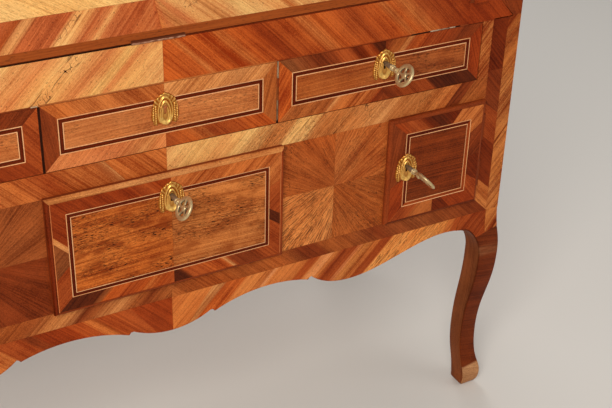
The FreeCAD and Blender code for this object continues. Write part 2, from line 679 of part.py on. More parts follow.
def build_frieze_drawers():
    gap = FRONT_GAP / 2
    side = DRAWER_GUIDE_T / 2 + FRONT_CLEARANCE
    places = {
        "left": (-OPENING_X, -GUIDE_X, FRONT_CLEARANCE, gap, FRONT_CLEARANCE, side),
        "centre": (-GUIDE_X, GUIDE_X, gap, gap, side, side),
        "right": (GUIDE_X, OPENING_X, gap, FRONT_CLEARANCE, side, FRONT_CLEARANCE),
    }
    for name, (x0, x1, front_left, front_right, box_left, box_right) in places.items():
        front = box(x0 + front_left, x1 - front_right, 0, FRIEZE_FRONT_T,
                    DRAWER_BOTTOM + FRONT_CLEARANCE, DRAWER_TOP - FRONT_CLEARANCE)
        x = {"left": -FRIEZE_KEY_X, "centre": 0.0, "right": FRIEZE_KEY_X}[name]
        front = front.cut(placed(keyhole(0, FRIEZE_FRONT_T), x, FRIEZE_KEY_Z))
        if name == "right":
            front = front.cut(placed(lock_recess(FRIEZE_EDGE, FRIEZE_FRONT_T), x, FRIEZE_KEY_Z))
        save(f"{name}_frieze_drawer_front", front)
        walls = drawer_box(x0 + box_left, x1 - box_right, FRIEZE_FRONT_T, DRAWER_END,
                           DRAWER_BOTTOM + SLIDE_CLEARANCE, FRIEZE_BOX_H)
        save(f"{name}_frieze_drawer_box", *walls)
        save(f"{name}_frieze_drawer_escutcheon", placed(escutcheon(0), x, FRIEZE_KEY_Z))


def build_lower_drawer():
    front = lipped_front(-LOWER_HALF, LOWER_HALF, LIP_OVERLAP, LIP_OVERLAP, LIP_PROUD)
    front = front.cut(placed(keyhole(-LIP_PROUD, PLUG_DEPTH), 0, LOWER_KEY_Z))
    save("lower_drawer_front", front.cut(placed(lock_recess(LOWER_EDGE, PLUG_DEPTH), 0, LOWER_KEY_Z)))
    side = LOWER_HALF - FRONT_CLEARANCE
    walls = drawer_box(-side, side, PLUG_DEPTH, DRAWER_END, LOWER_BOTTOM + SLIDE_CLEARANCE, LOWER_BOX_H)
    save("lower_drawer_box", *walls)
    save("lower_drawer_escutcheon", placed(escutcheon(-LIP_PROUD), 0, LOWER_KEY_Z))


def build_doors():
    door = lipped_front(DOOR_X, OPENING_X, LIP_OVERLAP, HINGE_LIP_OVERLAP, DOOR_LIP_PROUD)
    high = SLIDE_CLEARANCE / 2 + LEAF_T
    relief = hinge_relief(DOOR_HINGE_L, DOOR_LEAF, SLIDE_CLEARANCE / 2, high)
    door = door.cut([at_right_door(relief, z) for z in DOOR_HINGES_Z])
    door = door.cut(placed(keyhole(-DOOR_LIP_PROUD, PLUG_DEPTH), DOOR_KEY_X, DOOR_KEY_Z))
    save("left_door", mirrored(door))
    recess = placed(lock_recess(DOOR_EDGE, PLUG_DEPTH), DOOR_KEY_X, DOOR_KEY_Z, lying=True)
    save("right_door", door.cut(recess))
    plate = placed(escutcheon(-DOOR_LIP_PROUD), DOOR_KEY_X, DOOR_KEY_Z)
    save("right_door_escutcheon", plate)
    save("left_door_escutcheon", mirrored(plate))


def build_locks():
    locks = [
        ("right_frieze_drawer", 0.0, FRIEZE_FRONT_T, FRIEZE_EDGE, FRIEZE_KEY_STANDOFF, KEY_TURN,
         FRIEZE_KEY_X, FRIEZE_KEY_Z, False),
        ("lower_drawer", -LIP_PROUD, PLUG_DEPTH, LOWER_EDGE, LOWER_KEY_STANDOFF, KEY_TURN,
         0.0, LOWER_KEY_Z, False),
        ("right_door", -DOOR_LIP_PROUD, PLUG_DEPTH, DOOR_EDGE, DOOR_KEY_STANDOFF, DOOR_KEY_TURN,
         DOOR_KEY_X, DOOR_KEY_Z, True),
    ]
    for name, face, back, edge, standoff, turn, x, z, lying in locks:
        save(f"{name}_lock_case", placed(lock_case(edge, back), x, z, lying))
        save(f"{name}_bolt", placed(box(*bolt_limits(edge, back)), x, z, lying))
        save(f"{name}_key", placed(key(face, back, standoff, turn), x, z))


# Lopers and the gallery behind the lid

def knob(face):
    """A turned knob on a front: a neck and a round head."""
    neck = rod_along(Vector(0, -1, 0), KNOB_NECK_R, KNOB_REACH - KNOB_R, Vector(0, face, 0))
    return neck.fuse(Part.makeSphere(KNOB_R, Vector(0, face - KNOB_REACH + KNOB_R, 0)))


def build_lopers():
    x1 = OPENING_X - LOPER_END_IN
    x0 = x1 - LOPER_W
    z1 = OPEN_LID_UNDERSIDE - SLIDE_CLEARANCE
    z0 = z1 - LOPER_H
    middle = (x0 + x1) / 2
    bar = box(x0, x1, 0, LOPER_LENGTH, z0, z1)
    pull = rod_along(Vector(0, -1, 0), KNOB_NECK_R, KNOB_REACH / 2, Vector(middle, 0, (z0 + z1) / 2))
    loper = bar.fuse(pull)
    save("right_loper", loper)
    save("left_loper", mirrored(loper))

    floor = DRAWER_TOP + DUST_BOARD_T
    base = z0 - SLIDE_CLEARANCE
    wall = LOPER_GUIDE_WALL + SLIDE_CLEARANCE
    guide = box(x0 - wall, x1 + wall, RAIL_T, LOPER_LENGTH, floor, floor + LOPER_GUIDE_H)
    channel = box(x0 - SLIDE_CLEARANCE, x1 + SLIDE_CLEARANCE, RAIL_T, LOPER_LENGTH, base, BED_BOTTOM)
    post = box(OPENING_X, HALF, 0, POST_D, floor, HINGE_HEIGHT)
    save("loper_guides", *pair(guide.cut([channel, post])))


def build_gallery():
    t = GALLERY_WALL_T
    bay = (2 * INNER_X + t) / GALLERY_DRAWERS
    hole = (2 * INNER_X + t) / PIGEONHOLES
    shelf = box(-INNER_X, INNER_X, GALLERY_Y, BACK_Y, SHELF_Z, SHELF_Z + GALLERY_SHELF_T)
    walls = [shelf]
    for n in range(1, PIGEONHOLES):
        x = -INNER_X - t + n * hole
        walls.append(box(x, x + t, GALLERY_Y, BACK_Y, SHELF_Z + GALLERY_SHELF_T, TOP_UNDERSIDE))
    for n in range(1, GALLERY_DRAWERS):
        x = -INNER_X - t + n * bay
        walls.append(box(x, x + t, GALLERY_Y, BACK_Y, BED_TOP, SHELF_Z))
    save("pigeonhole_gallery", *walls)

    z0 = BED_TOP + SLIDE_CLEARANCE
    height = GALLERY_DRAWER_H - SLIDE_CLEARANCE - FRONT_CLEARANCE
    for n, name in enumerate(["left", "centre", "right"]):
        x0 = -INNER_X + n * bay + FRONT_CLEARANCE
        x1 = x0 + bay - t - 2 * FRONT_CLEARANCE
        front = box(x0, x1, GALLERY_Y, GALLERY_Y + GALLERY_FRONT_T, z0, z0 + height)
        walls = drawer_box(x0, x1, GALLERY_Y + GALLERY_FRONT_T, GALLERY_Y + GALLERY_DRAWER_LENGTH,
                           z0, height - DRAWER_BOTTOM_RISE)
        pull = knob(GALLERY_Y).translated(Vector((x0 + x1) / 2, 0, z0 + height / 2))
        save(f"{name}_gallery_drawer", front.fuse(pull), *walls)


def main():
    os.makedirs("parts", exist_ok=True)
    build_case()
    build_front()
    build_legs()
    build_lid()
    build_hinges()
    build_frieze_drawers()
    build_lower_drawer()
    build_doors()
    build_locks()
    build_lopers()
    build_gallery()


main()
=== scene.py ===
# %% [markdown]
# # A slant-front desk dressed in old veneer
# The carcase, drawers, doors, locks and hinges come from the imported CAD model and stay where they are.
# This script gives them their surfaces: leaves of veneer laid side by side, stringing, gilt brass, steel
# and polished solid wood. Everything is in the same frame as the CAD. Sizes are written in millimetres and
# turned into metres when they go into a mesh.

# %% Load the frame and keep its box
import json
import math
from collections import namedtuple

import bpy
import numpy as np
from mathutils import Matrix, Vector


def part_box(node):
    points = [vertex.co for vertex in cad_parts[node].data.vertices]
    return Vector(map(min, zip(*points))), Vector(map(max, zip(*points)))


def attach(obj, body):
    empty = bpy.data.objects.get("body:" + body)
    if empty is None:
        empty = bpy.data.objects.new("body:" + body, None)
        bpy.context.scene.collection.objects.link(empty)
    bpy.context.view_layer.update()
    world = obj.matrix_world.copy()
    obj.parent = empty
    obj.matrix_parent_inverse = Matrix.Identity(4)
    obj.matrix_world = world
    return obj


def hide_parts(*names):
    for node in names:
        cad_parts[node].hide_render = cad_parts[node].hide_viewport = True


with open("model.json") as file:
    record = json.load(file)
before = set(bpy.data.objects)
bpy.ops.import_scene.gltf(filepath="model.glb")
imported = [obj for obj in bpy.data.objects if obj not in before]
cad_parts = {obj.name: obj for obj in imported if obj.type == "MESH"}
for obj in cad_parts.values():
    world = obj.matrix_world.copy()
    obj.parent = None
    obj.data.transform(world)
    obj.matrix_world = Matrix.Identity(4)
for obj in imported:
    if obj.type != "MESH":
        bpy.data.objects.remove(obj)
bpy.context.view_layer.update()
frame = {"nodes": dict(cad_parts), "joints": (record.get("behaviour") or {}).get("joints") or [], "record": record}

MM = 0.001
rng = np.random.default_rng(1760)

# %% [markdown]
# ## The places that everything else is measured from
# A veneer needs a flat face to lie on. Its place could be typed in, but then it would be wrong as soon as the
# CAD changed. So each face here is an origin, a direction along it, a direction up it and the direction it
# looks in, and the boxes of the CAD nodes give the origins.

# %% Boxes and faces
Face = namedtuple("Face", "origin along up out")


def box_mm(node):
    """Lowest and highest corner of a CAD node, in millimetres."""
    low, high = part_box(node)
    return np.array(low) / MM, np.array(high) / MM


def front_rect(node):
    """A node seen from the front: its left, right, lowest and highest place."""
    low, high = box_mm(node)
    return low[0], high[0], low[2], high[2]


def face(origin, along, up):
    """A flat face. It looks along the cross product of its two directions."""
    along, up = np.array(along, float), np.array(up, float)
    return Face(np.array(origin, float), along, up, np.cross(along, up))


def front_face(y):
    """A face that looks to the front, at a depth."""
    return face((0, y, 0), (1, 0, 0), (0, 0, 1))


frieze_low, frieze_high = box_mm("frieze_rail")
mid_low, mid_high = box_mm("mid_rail")
base_low, base_high = box_mm("base_rail")
top_low, top_high = box_mm("top_board")
loper_low, loper_high = box_mm("right_loper")
lower_rect, door_rect = front_rect("lower_drawer_front"), front_rect("right_door")
print("front rectangles", np.round(lower_rect, 1), np.round(door_rect, 1))

# %% Faces of the desk
HALF = top_high[0]
FRONT_Y, BACK_Y = frieze_low[1], top_high[1]
LIP_Y, DOOR_Y = box_mm("lower_drawer_front")[0][1], box_mm("right_door")[0][1]
LID_FOOT = box_mm("lid_nosing")[1][2]
LID_SLOPE = math.radians(56)
LID_UP = (0, math.cos(LID_SLOPE), math.sin(LID_SLOPE))
UNDER_TOP = 9
LID_LENGTH = (top_high[2] - UNDER_TOP - LID_FOOT) / math.sin(LID_SLOPE)
FRONT, LIP, DOOR = front_face(FRONT_Y), front_face(LIP_Y), front_face(DOOR_Y)
LID = face((0, FRONT_Y, LID_FOOT), (1, 0, 0), LID_UP)
TOP = face((0, 0, top_high[2]), (1, 0, 0), (0, 1, 0))
RIGHT_SIDE = face((HALF, 0, 0), (0, 1, 0), (0, 0, 1))
LEFT_SIDE = face((-HALF, 0, 0), (0, -1, 0), (0, 0, 1))
print("half width", round(HALF, 1), "mm, lid", round(LID_LENGTH, 1), "mm long")

# %% [markdown]
# ## Writing a material as a chain of calls
# A node material soon becomes a page of links. It could be drawn in the shader editor, but a script has to
# build it again on every run. This small class adds a node per call and gives back its output, so a finish
# reads from top to bottom like a recipe.

# %% The material helper


class Finish:
    """A material under construction."""

    def __init__(self, name):
        self.material = bpy.data.materials.new(name)
        self.material.use_nodes = True
        self.tree = self.material.node_tree
        self.shader = self.tree.nodes["Principled BSDF"]

    def feed(self, socket, value):
        """Links an output to a socket, or sets the socket to a plain value."""
        if isinstance(value, bpy.types.NodeSocket):
            self.tree.links.new(value, socket)
        else:
            socket.default_value = value

    def node(self, kind, output, inputs, **settings):
        """Adds a shader node, feeds its inputs and gives back one of its outputs."""
        made = self.tree.nodes.new("ShaderNode" + kind)
        for name, value in settings.items():
            setattr(made, name, value)
        for socket, value in inputs.items():
            self.feed(made.inputs[socket], value)
        return made.outputs[output]

    def place(self):
        """Object coordinates, in metres."""
        return self.node("TexCoord", 3, {})

    def attribute(self, name, output):
        """A value stored on the mesh: output 0 is a colour, 1 a vector and 2 a number."""
        return self.node("Attribute", output, {}, attribute_name=name)

    def math(self, operation, a, b=0.0):
        """One operation on two numbers."""
        return self.node("Math", 0, {0: a, 1: b}, operation=operation)

    def times(self, a, b):
        """a times b."""
        return self.math("MULTIPLY", a, b)

    def plus(self, a, b):
        """a plus b."""
        return self.math("ADD", a, b)

    def minus(self, a, b):
        """a minus b."""
        return self.math("SUBTRACT", a, b)

    def larger(self, a, b):
        """The larger of a and b."""
        return self.math("MAXIMUM", a, b)

    def noise(self, vector, along, across, detail=2.0, roughness=0.5):
        """Noise with along waves per metre in x and across waves per metre in y and z."""
        drawn = self.node("VectorMath", 0, {0: vector, 1: (along, across, across)}, operation="MULTIPLY")
        inputs = {"Vector": drawn, "Scale": 1.0, "Detail": detail, "Roughness": roughness}
        return self.node("TexNoise", 0, inputs)

    def ramp(self, value, low, high):
        """0 below one limit, 1 past the other, and a smooth step between them."""
        inputs = {"Value": value, "From Min": low, "From Max": high}
        return self.node("MapRange", 0, inputs, interpolation_type="SMOOTHSTEP")

    def marks(self, vector, along, across, low, high, detail=2.0, roughness=0.5):
        """Noise with a smooth step between two limits."""
        return self.ramp(self.noise(vector, along, across, detail, roughness), low, high)

    def between(self, value, low, high):
        """Stretches 0 to 1 over low to high."""
        return self.node("MapRange", 0, {"Value": value, "To Min": low, "To Max": high})

    def mix(self, factor, a, b, kind="MIX"):
        """Colour a at a factor of 0, blended with colour b by a factor of 1."""
        return self.node("Mix", 2, {0: factor, 6: a, 7: b}, data_type="RGBA", blend_type=kind)

    def bump(self, height, strength, distance):
        """Tilts the shading as if the surface rose by height times distance, in metres."""
        inputs = {"Height": height, "Strength": strength, "Distance": distance}
        self.feed(self.shader.inputs["Normal"], self.node("Bump", 0, inputs))

    def finish(self, **sockets):
        """Feeds the shader's sockets, named with _ for a space, and gives back the material."""
        for name, value in sockets.items():
            self.feed(self.shader.inputs[name.replace("_", " ")], value)
        return self.material


def linear(red, green, blue):
    """A colour as the eye reads it, 0 to 255, turned into linear light."""
    c = np.array([red, green, blue]) / 255
    return np.where(c <= 0.04045, c / 12.92, ((c + 0.055) / 1.055) ** 2.4)


def rgba(*colour):
    """The same for a colour socket, with an alpha of 1."""
    return (*linear(*colour), 1.0)


print("material helper ready, mid grey is", np.round(linear(128, 128, 128), 3))

# %% [markdown]
# ## Old polished veneer
# The leaves on this desk come from a few striped woods, cut across the heart so that straw, orange and
# red-brown bands run side by side. They could have a material each, but one serves them all: each leaf
# carries its own grain direction as a UV map, u along the grain and v across it, and its own pair of tones,
# so the same noise draws pale sapwood on one leaf and near-black heartwood on the next.

# %% Grain
GRIME = rgba(40, 16, 8)
VEIN_TINT = (0.56, 0.40, 0.28, 1.0)
AGE_TINT = (1.0, 0.90, 0.78, 1.0)
SWAY = 0.012


def grain_marks(wood, grain):
    """Bands, lines and grit on a vector whose x runs along the grain, in metres. Gives the vector after its
    slow sway too."""
    sway = wood.times(wood.minus(wood.noise(grain, 4, 9), 0.5), SWAY)
    shift = wood.node("CombineXYZ", 0, {1: sway})
    along = wood.node("VectorMath", 0, {0: grain, 1: shift}, operation="ADD")
    broad = wood.marks(along, 0.6, 24, 0.32, 0.68)
    streaks = wood.marks(along, 1.6, 85, 0.32, 0.68, 2.0, 0.55)
    bands = wood.plus(wood.times(broad, 0.58), wood.times(streaks, 0.42))
    coarse = wood.marks(along, 4.0, 360, 0.30, 0.70, 1.0, 0.6)
    fine = wood.marks(along, 10, 800, 0.28, 0.72, 1.5)
    lines = wood.plus(wood.times(coarse, 0.6), wood.times(fine, 0.4))
    grit = wood.marks(grain, 420, 900, 0.28, 0.72)
    return along, bands, lines, grit


def pore_marks(wood, along):
    """The short open pores of the wood."""
    return wood.marks(along, 170, 900, 0.58, 0.70, 1.0)


print("grain ready, it sways by", SWAY / MM, "mm")

# %% [markdown]
# ## Flecks and worm
# Old veneer is flecked with burr, and woodworm has drilled it. Each kind of mark is a noise of its own shape,
# kept only where it passes a limit, so a leaf can have more or less of each.

# %% Dark marks, holes and tracks


def dark_marks(wood, grain, along):
    """Veins, crowded burr dashes, even strokes and blotches, each 0 where the wood is clean."""
    veins = wood.marks(along, 2.6, 300, 0.55, 0.66, 2.0, 0.6)
    crowd = wood.marks(grain, 12, 34, 0.38, 0.60)
    dashes = wood.marks(along, 150, 1150, 0.52, 0.61, 2.0, 0.6)
    blotches = wood.marks(grain, 26, 52, 0.46, 0.66, 3.0, 0.6)
    strokes = wood.marks(along, 55, 560, 0.53, 0.60, 1.5)
    return veins, wood.times(dashes, crowd), strokes, blotches


def worm_holes(wood, vector, scale):
    """Round holes: a dot in some of the cells of a Voronoi pattern."""
    cells = wood.node("TexVoronoi", 0, {"Vector": vector, "Scale": scale})
    chosen = wood.ramp(wood.node("SeparateColor", 0, {0: cells.node.outputs["Color"]}), 0.70, 0.72)
    return wood.times(wood.ramp(cells, 0.085, 0.05), chosen)


def worm_tracks(wood, vector, hole):
    """Curly lines: where a noise crosses its middle value, in a few patches, and all over worm-eaten wood."""
    path = wood.noise(vector, 110, 110, 0.0)
    line = wood.ramp(wood.math("ABSOLUTE", wood.minus(path, 0.5)), 0.022, 0.008)
    patches = wood.marks(vector, 16, 16, 0.66, 0.69, 1.0)
    return wood.times(line, wood.larger(patches, wood.ramp(hole, 1.1, 1.4)))


HOLES_PER_METRE = 75
print("worm holes lie about", round(1 / HOLES_PER_METRE / MM, 1), "mm apart")

# %% [markdown]
# ## One finish for every leaf
# The tone of a point lies between the leaf's dark and light tones, moved by the bands, lines, grit and
# clouds. Age, veins, burr, specks and holes are then laid over it in the order in which the wood got them.

# %% The veneer finish


def veneer_finish():
    """Tone = 0.52 + stripe (bands - 1/2) + 0.62 (lines - 1/2) + 0.5 (grit - 1/2) + 0.42 (cloud - 1/2), which
    is the dark tone at 0 and the light one at 1. Strokes come at a hole level near 1, tracks above it."""
    wood = Finish("old_polished_veneer")
    grain = wood.node("UVMap", 0, {}, uv_map="grain")
    light, dark = wood.attribute("tone_light", 0), wood.attribute("tone_dark", 0)
    stripe, burr, hole = wood.node("SeparateXYZ", 0, {0: wood.attribute("figure", 1)}).node.outputs
    along, bands, lines, grit = grain_marks(wood, grain)
    veins, dashes, strokes, blotches = dark_marks(wood, grain, along)
    cloud = wood.marks(grain, 22, 34, 0.28, 0.72, 3.0, 0.6)
    depth = 0.52
    for value, amount in ((bands, stripe), (lines, 0.62), (grit, 0.5), (cloud, 0.42)):
        depth = wood.plus(depth, wood.times(wood.minus(value, 0.5), amount))
    colour = wood.mix(depth, dark, light)
    colour = wood.mix(wood.marks(grain, 9, 14, 0.35, 0.65), colour, AGE_TINT, "MULTIPLY")
    pale_lines = wood.marks(along, 3.0, 230, 0.58, 0.68, 1.5)
    colour = wood.mix(wood.times(pale_lines, 0.35), colour, light)
    colour = wood.mix(wood.times(veins, wood.times(stripe, 0.8)), colour, VEIN_TINT, "MULTIPLY")
    burred = wood.times(blotches, wood.ramp(burr, 0.6, 1.6))
    colour = wood.mix(wood.times(burred, 0.75), colour, dark)
    specks = wood.larger(wood.times(dashes, burr), wood.times(pore_marks(wood, along), 0.3))
    stroked = wood.times(wood.ramp(hole, 0.8, 1.0), wood.ramp(hole, 1.2, 1.05))
    specks = wood.larger(specks, wood.times(wood.times(strokes, stroked), 0.9))
    colour = wood.mix(wood.times(specks, 0.72), colour, GRIME)
    bored = wood.larger(worm_holes(wood, grain, HOLES_PER_METRE), worm_tracks(wood, grain, hole))
    pits = wood.marks(grain, 260, 420, 0.68, 0.73, 1.0)
    holes = wood.times(wood.larger(bored, pits), hole)
    colour = wood.mix(wood.times(holes, 0.85), colour, GRIME)
    marks = wood.plus(wood.times(specks, 0.5), holes)
    wood.bump(wood.minus(wood.times(lines, 0.35), marks), 0.35, 0.0004)
    rub = wood.between(wood.noise(grain, 18, 18, 3.0), 0.36, 0.54)
    return wood.finish(Base_Color=colour, Roughness=rub, Specular_IOR_Level=0.05)


VENEER = veneer_finish()
print("veneer finish with", len(VENEER.node_tree.nodes), "nodes")

# %% [markdown]
# ## The woods
# Each wood is a dark and a light tone, then how strongly it is striped, flecked and holed. Most are one
# striped wood at different depths of the log, so a run from straw to fumed could be cut from one flitch.

# %% Tones of the woods
WOODS = {
    "straw": ((204, 146, 84), (248, 198, 124), 0.3, 0.4, 0.3),
    "gold": ((200, 122, 68), (238, 182, 112), 0.45, 0.3, 0.7),
    "tracked_gold": ((198, 120, 65), (240, 182, 112), 0.45, 0.3, 1.5),
    "peach": ((188, 104, 58), (228, 150, 90), 0.45, 0.3, 0.6),
    "salmon": ((172, 84, 44), (216, 134, 78), 0.45, 0.2, 0.6),
    "coral": ((172, 82, 36), (220, 132, 66), 0.7, 0.3, 0.4),
    "blush": ((158, 74, 38), (206, 120, 68), 0.45, 0.2, 0.7),
    "rosewood": ((146, 62, 28), (202, 106, 57), 0.5, 0.3, 0.6),
    "tan": ((166, 92, 46), (220, 150, 88), 0.7, 0.3, 0.4),
    "amber": ((160, 80, 34), (214, 132, 70), 0.6, 0.5, 0.6),
    "tawny": ((144, 62, 22), (206, 118, 58), 0.8, 0.3, 0.3),
    "fox": ((132, 56, 18), (192, 100, 44), 0.7, 0.5, 0.4),
    "orange": ((140, 48, 12), (204, 100, 40), 0.9, 0.2, 0.3),
    "rust": ((126, 46, 15), (178, 84, 36), 0.7, 0.2, 0.2),
    "russet": ((106, 33, 9), (158, 64, 23), 0.7, 0.2, 0.2),
    "chestnut": ((128, 58, 22), (186, 102, 48), 0.6, 0.6, 0.4),
    "walnut": ((118, 54, 22), (176, 94, 46), 0.6, 0.4, 0.3),
    "dusky": ((98, 47, 21), (150, 82, 42), 0.6, 0.3, 0.1),
    "umber": ((94, 35, 12), (146, 64, 27), 0.7, 0.3, 0.2),
    "mahogany": ((82, 25, 6), (132, 50, 16), 0.7, 0.2, 0.2),
    "sable": ((82, 31, 11), (128, 55, 22), 0.6, 0.3, 0.2),
    "fumed": ((58, 21, 9), (100, 42, 18), 0.7, 0.3, 0.2),
    "hatched": ((136, 54, 18), (206, 126, 64), 1.3, 0.6, 0.6),
    "wormy_gold": ((190, 116, 60), (242, 190, 118), 0.6, 0.9, 0.9),
    "wormy_amber": ((164, 88, 40), (218, 140, 78), 0.6, 1.0, 0.9),
    "wormy_tan": ((182, 98, 46), (234, 152, 84), 0.6, 1.0, 1.0),
    "wormy_coral": ((196, 106, 46), (244, 162, 86), 0.7, 0.8, 0.95),
    "ray_fox": ((132, 56, 18), (192, 100, 44), 0.6, 0.8, 0.88),
    "ray_tawny": ((146, 64, 24), (206, 118, 58), 0.65, 0.8, 0.88),
    "ray_brown": ((138, 62, 22), (196, 106, 48), 0.5, 0.9, 0.9),
    "pink_panel": ((162, 86, 43), (216, 138, 80), 0.5, 0.8, 0.2),
    "rose_panel": ((152, 78, 37), (206, 126, 70), 0.5, 0.8, 0.2),
    "copper_panel": ((134, 60, 24), (190, 106, 50), 0.5, 0.7, 0.2),
    "dusk_panel": ((126, 56, 23), (184, 100, 49), 0.5, 1.4, 0.5),
    "burr_panel": ((124, 46, 11), (206, 114, 48), 0.8, 1.5, 0.4),
    "pale_burr": ((142, 66, 24), (216, 134, 70), 0.6, 1.5, 0.4),
    "dark_panel": ((80, 30, 10), (146, 64, 25), 0.25, 0.6, 0.0),
    "pale_string": ((210, 140, 92), (246, 188, 136), 0.3, 0.2, 0.0),
    "dark_string": ((72, 18, 3), (104, 34, 9), 0.3, 0.1, 0.0),
    "bare": ((148, 96, 58), (204, 150, 104), 0.5, 0.3, 0.2),
    "worn_pale": ((122, 92, 68), (208, 180, 150), 0.8, 1.4, 0.9),
    "backboard": ((112, 72, 42), (158, 112, 72), 0.6, 0.3, 0.3),
    # The last tone is no wood: it is near-black painted shade, laid in gaps and under the nosing.
    "grime": ((22, 8, 4), (52, 22, 10), 0.4, 0.2, 0.0),
}
print("woods", len(WOODS))

# %% [markdown]
# ## Cutting a leaf of veneer
# A real leaf is sawn or knife cut, glued down and scraped level, so each one here is a thin closed slab with
# a soft arris. Its top is a patch between four corners. The arris and the edge are darker, which draws the
# thin joint lines between leaves.

# %% The leaf's grid
LEAF_THICK = 0.25
LEAF_SUNK = 0.15
ARRIS = 0.45
ARRIS_DROP = 0.1
ARRIS_SHARE = 0.22
JOINT_SHADE = 0.74


def stations(length, steps):
    """Places from 0 to 1 along a side: the two ends, the two arrises and even steps between them."""
    rim = min(ARRIS / max(length, ARRIS), ARRIS_SHARE)
    return np.concatenate([[0.0], np.linspace(rim, 1 - rim, steps + 1), [1.0]])


def spread(a, b, c, d, s, t):
    """Points between four corners: P(s, t) = (1-s)(1-t) A + s(1-t) B + s t C + (1-s) t D."""
    s, t = s[:, None, None], t[None, :, None]
    return (1 - s) * (1 - t) * a + s * (1 - t) * b + s * t * c + (1 - s) * t * d


def patch(corners, steps=(1, 1)):
    """The grid of a leaf on four corners, which are taken counterclockwise."""
    a, b, c, d = (np.array(corner, float) for corner in corners)
    if np.cross(c - a, d - b) < 0:
        a, b, c, d = b, a, d, c
    s = stations(max(np.linalg.norm(b - a), np.linalg.norm(c - d)), steps[0])
    t = stations(max(np.linalg.norm(d - a), np.linalg.norm(c - b)), steps[1])
    return spread(a, b, c, d, s, t)


def leaf(grid, grain, wood, seed=None, joint=JOINT_SHADE, fan=None):
    """A leaf as plain data: its grid in millimetres, its grain angle and its wood, or one wood per row.
    Leaves with one seed are of one flitch. A fan is the point that the grain spreads from."""
    turn = math.radians(grain)
    return dict(grid=np.asarray(grid, float), grain=turn, wood=wood, seed=seed, joint=joint, fan=fan)


print("a leaf stands", LEAF_THICK, "mm proud of its board")

# %% [markdown]
# ## From a leaf to a mesh
# The leaves of one board become one piece, because they never move apart. Blender's Solidify could give them
# their thickness, but then the darker rim would be hard to reach, so the slab is put together here.

# %% Points, grain and tones of a leaf


def slab_faces(rows, columns):
    """Quads of a closed slab: the top grid, the same grid below it, and the wall between their rims."""
    top = np.arange(rows * columns).reshape(rows, columns)
    cells = np.stack([top[:-1, :-1], top[1:, :-1], top[1:, 1:], top[:-1, 1:]], -1).reshape(-1, 4)
    rim = np.concatenate([top[:-1, 0], top[-1, :-1], top[:0:-1, -1], top[0, :0:-1]])
    after = np.roll(rim, -1)
    below = rows * columns
    wall = np.stack([rim, rim + below, after + below, after], -1)
    return np.concatenate([cells, cells[:, ::-1] + below, wall])


def grain_map(piece):
    """Distance along and across the grain, in mm. On a fan they are the distance r from its centre and the
    arc R a, where R is the distance of the leaf's middle and a the angle from it."""
    grid = piece["grid"]
    if piece["fan"] is not None:
        away = grid - np.array(piece["fan"])
        middle = away.mean((0, 1))
        turn = np.arctan2(middle[0] * away[..., 1] - middle[1] * away[..., 0], away @ middle)
        return np.stack([np.hypot(away[..., 0], away[..., 1]), np.hypot(*middle) * turn], -1)
    c, s = math.cos(piece["grain"]), math.sin(piece["grain"])
    return np.stack([grid[..., 0] * c + grid[..., 1] * s, grid[..., 1] * c - grid[..., 0] * s], -1)


def leaf_arrays(piece, on, bulge, sunk):
    """Points, grain UV, tones, figure and faces of one leaf. bulge(grid) lifts it off a flat face, in mm."""
    grid = piece["grid"]
    rows, columns = grid.shape[:2]
    edge = np.ones((rows, columns), bool)
    edge[1:-1, 1:-1] = False
    base = bulge(grid) if bulge else np.zeros((rows, columns))
    layers = [base + LEAF_THICK - ARRIS_DROP * edge, base - sunk]
    flat = grid[..., :1] * on.along + grid[..., 1:] * on.up + on.origin
    points = np.concatenate([(flat + lift[..., None] * on.out).reshape(-1, 3) for lift in layers]) * MM
    draw = np.random.default_rng(piece["seed"]) if piece["seed"] is not None else rng
    uv = grain_map(piece) * MM + draw.uniform(0, 40, 2)
    shade = draw.normal(1.0, 0.035)
    names = [piece["wood"]] * rows if isinstance(piece["wood"], str) else piece["wood"]
    level = (np.where(edge, piece["joint"], 1.0) * shade)[..., None]
    tones = [np.array([linear(*WOODS[name][k]) for name in names])[:, None] * level for k in (0, 1)]
    figure = np.broadcast_to(np.array([WOODS[name][2:] for name in names])[:, None], (rows, columns, 3))
    values = [np.tile(value.reshape(-1, value.shape[-1]), (2, 1)) for value in (uv, *tones, figure)]
    return points, *values, slab_faces(rows, columns)


print("a plain leaf has", len(slab_faces(4, 4)), "faces")

# %% Pieces that ride on a body


def new_piece(name, points, faces, body, slot, material, smooth=False):
    """A mesh object at the origin that rides on a body."""
    mesh = bpy.data.meshes.new(name)
    mesh.from_pydata(np.asarray(points).tolist(), [], [np.asarray(corners).tolist() for corners in faces])
    mesh.materials.append(material)
    mesh.polygons.foreach_set("use_smooth", np.full(len(mesh.polygons), smooth))
    piece = bpy.data.objects.new(name, mesh)
    bpy.context.scene.collection.objects.link(piece)
    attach(piece, body)
    return piece


def set_data(mesh, name, kind, values, domain="POINT"):
    """A named value on every point or corner. Colours get an alpha of 1."""
    layer = mesh.attributes.new(name, kind, domain)
    if kind == "FLOAT_COLOR":
        values = np.concatenate([values, np.ones((len(values), 1))], 1)
    stored = {"FLOAT": "value", "FLOAT_COLOR": "color", "FLOAT_VECTOR": "vector"}[kind]
    layer.data.foreach_set(stored, values.astype(np.float32).ravel())


def dress(mesh, uv, dark, light, figure, domain="POINT"):
    """What the veneer finish reads: the grain map, both tones and the figure, per point or per corner."""
    if domain == "POINT":
        corner = np.empty(len(mesh.loops), np.int32)
        mesh.loops.foreach_get("vertex_index", corner)
        uv = uv[corner]
    mesh.uv_layers.new(name="grain").data.foreach_set("uv", uv.astype(np.float32).ravel())
    set_data(mesh, "tone_dark", "FLOAT_COLOR", dark, domain)
    set_data(mesh, "tone_light", "FLOAT_COLOR", light, domain)
    set_data(mesh, "figure", "FLOAT_VECTOR", figure, domain)


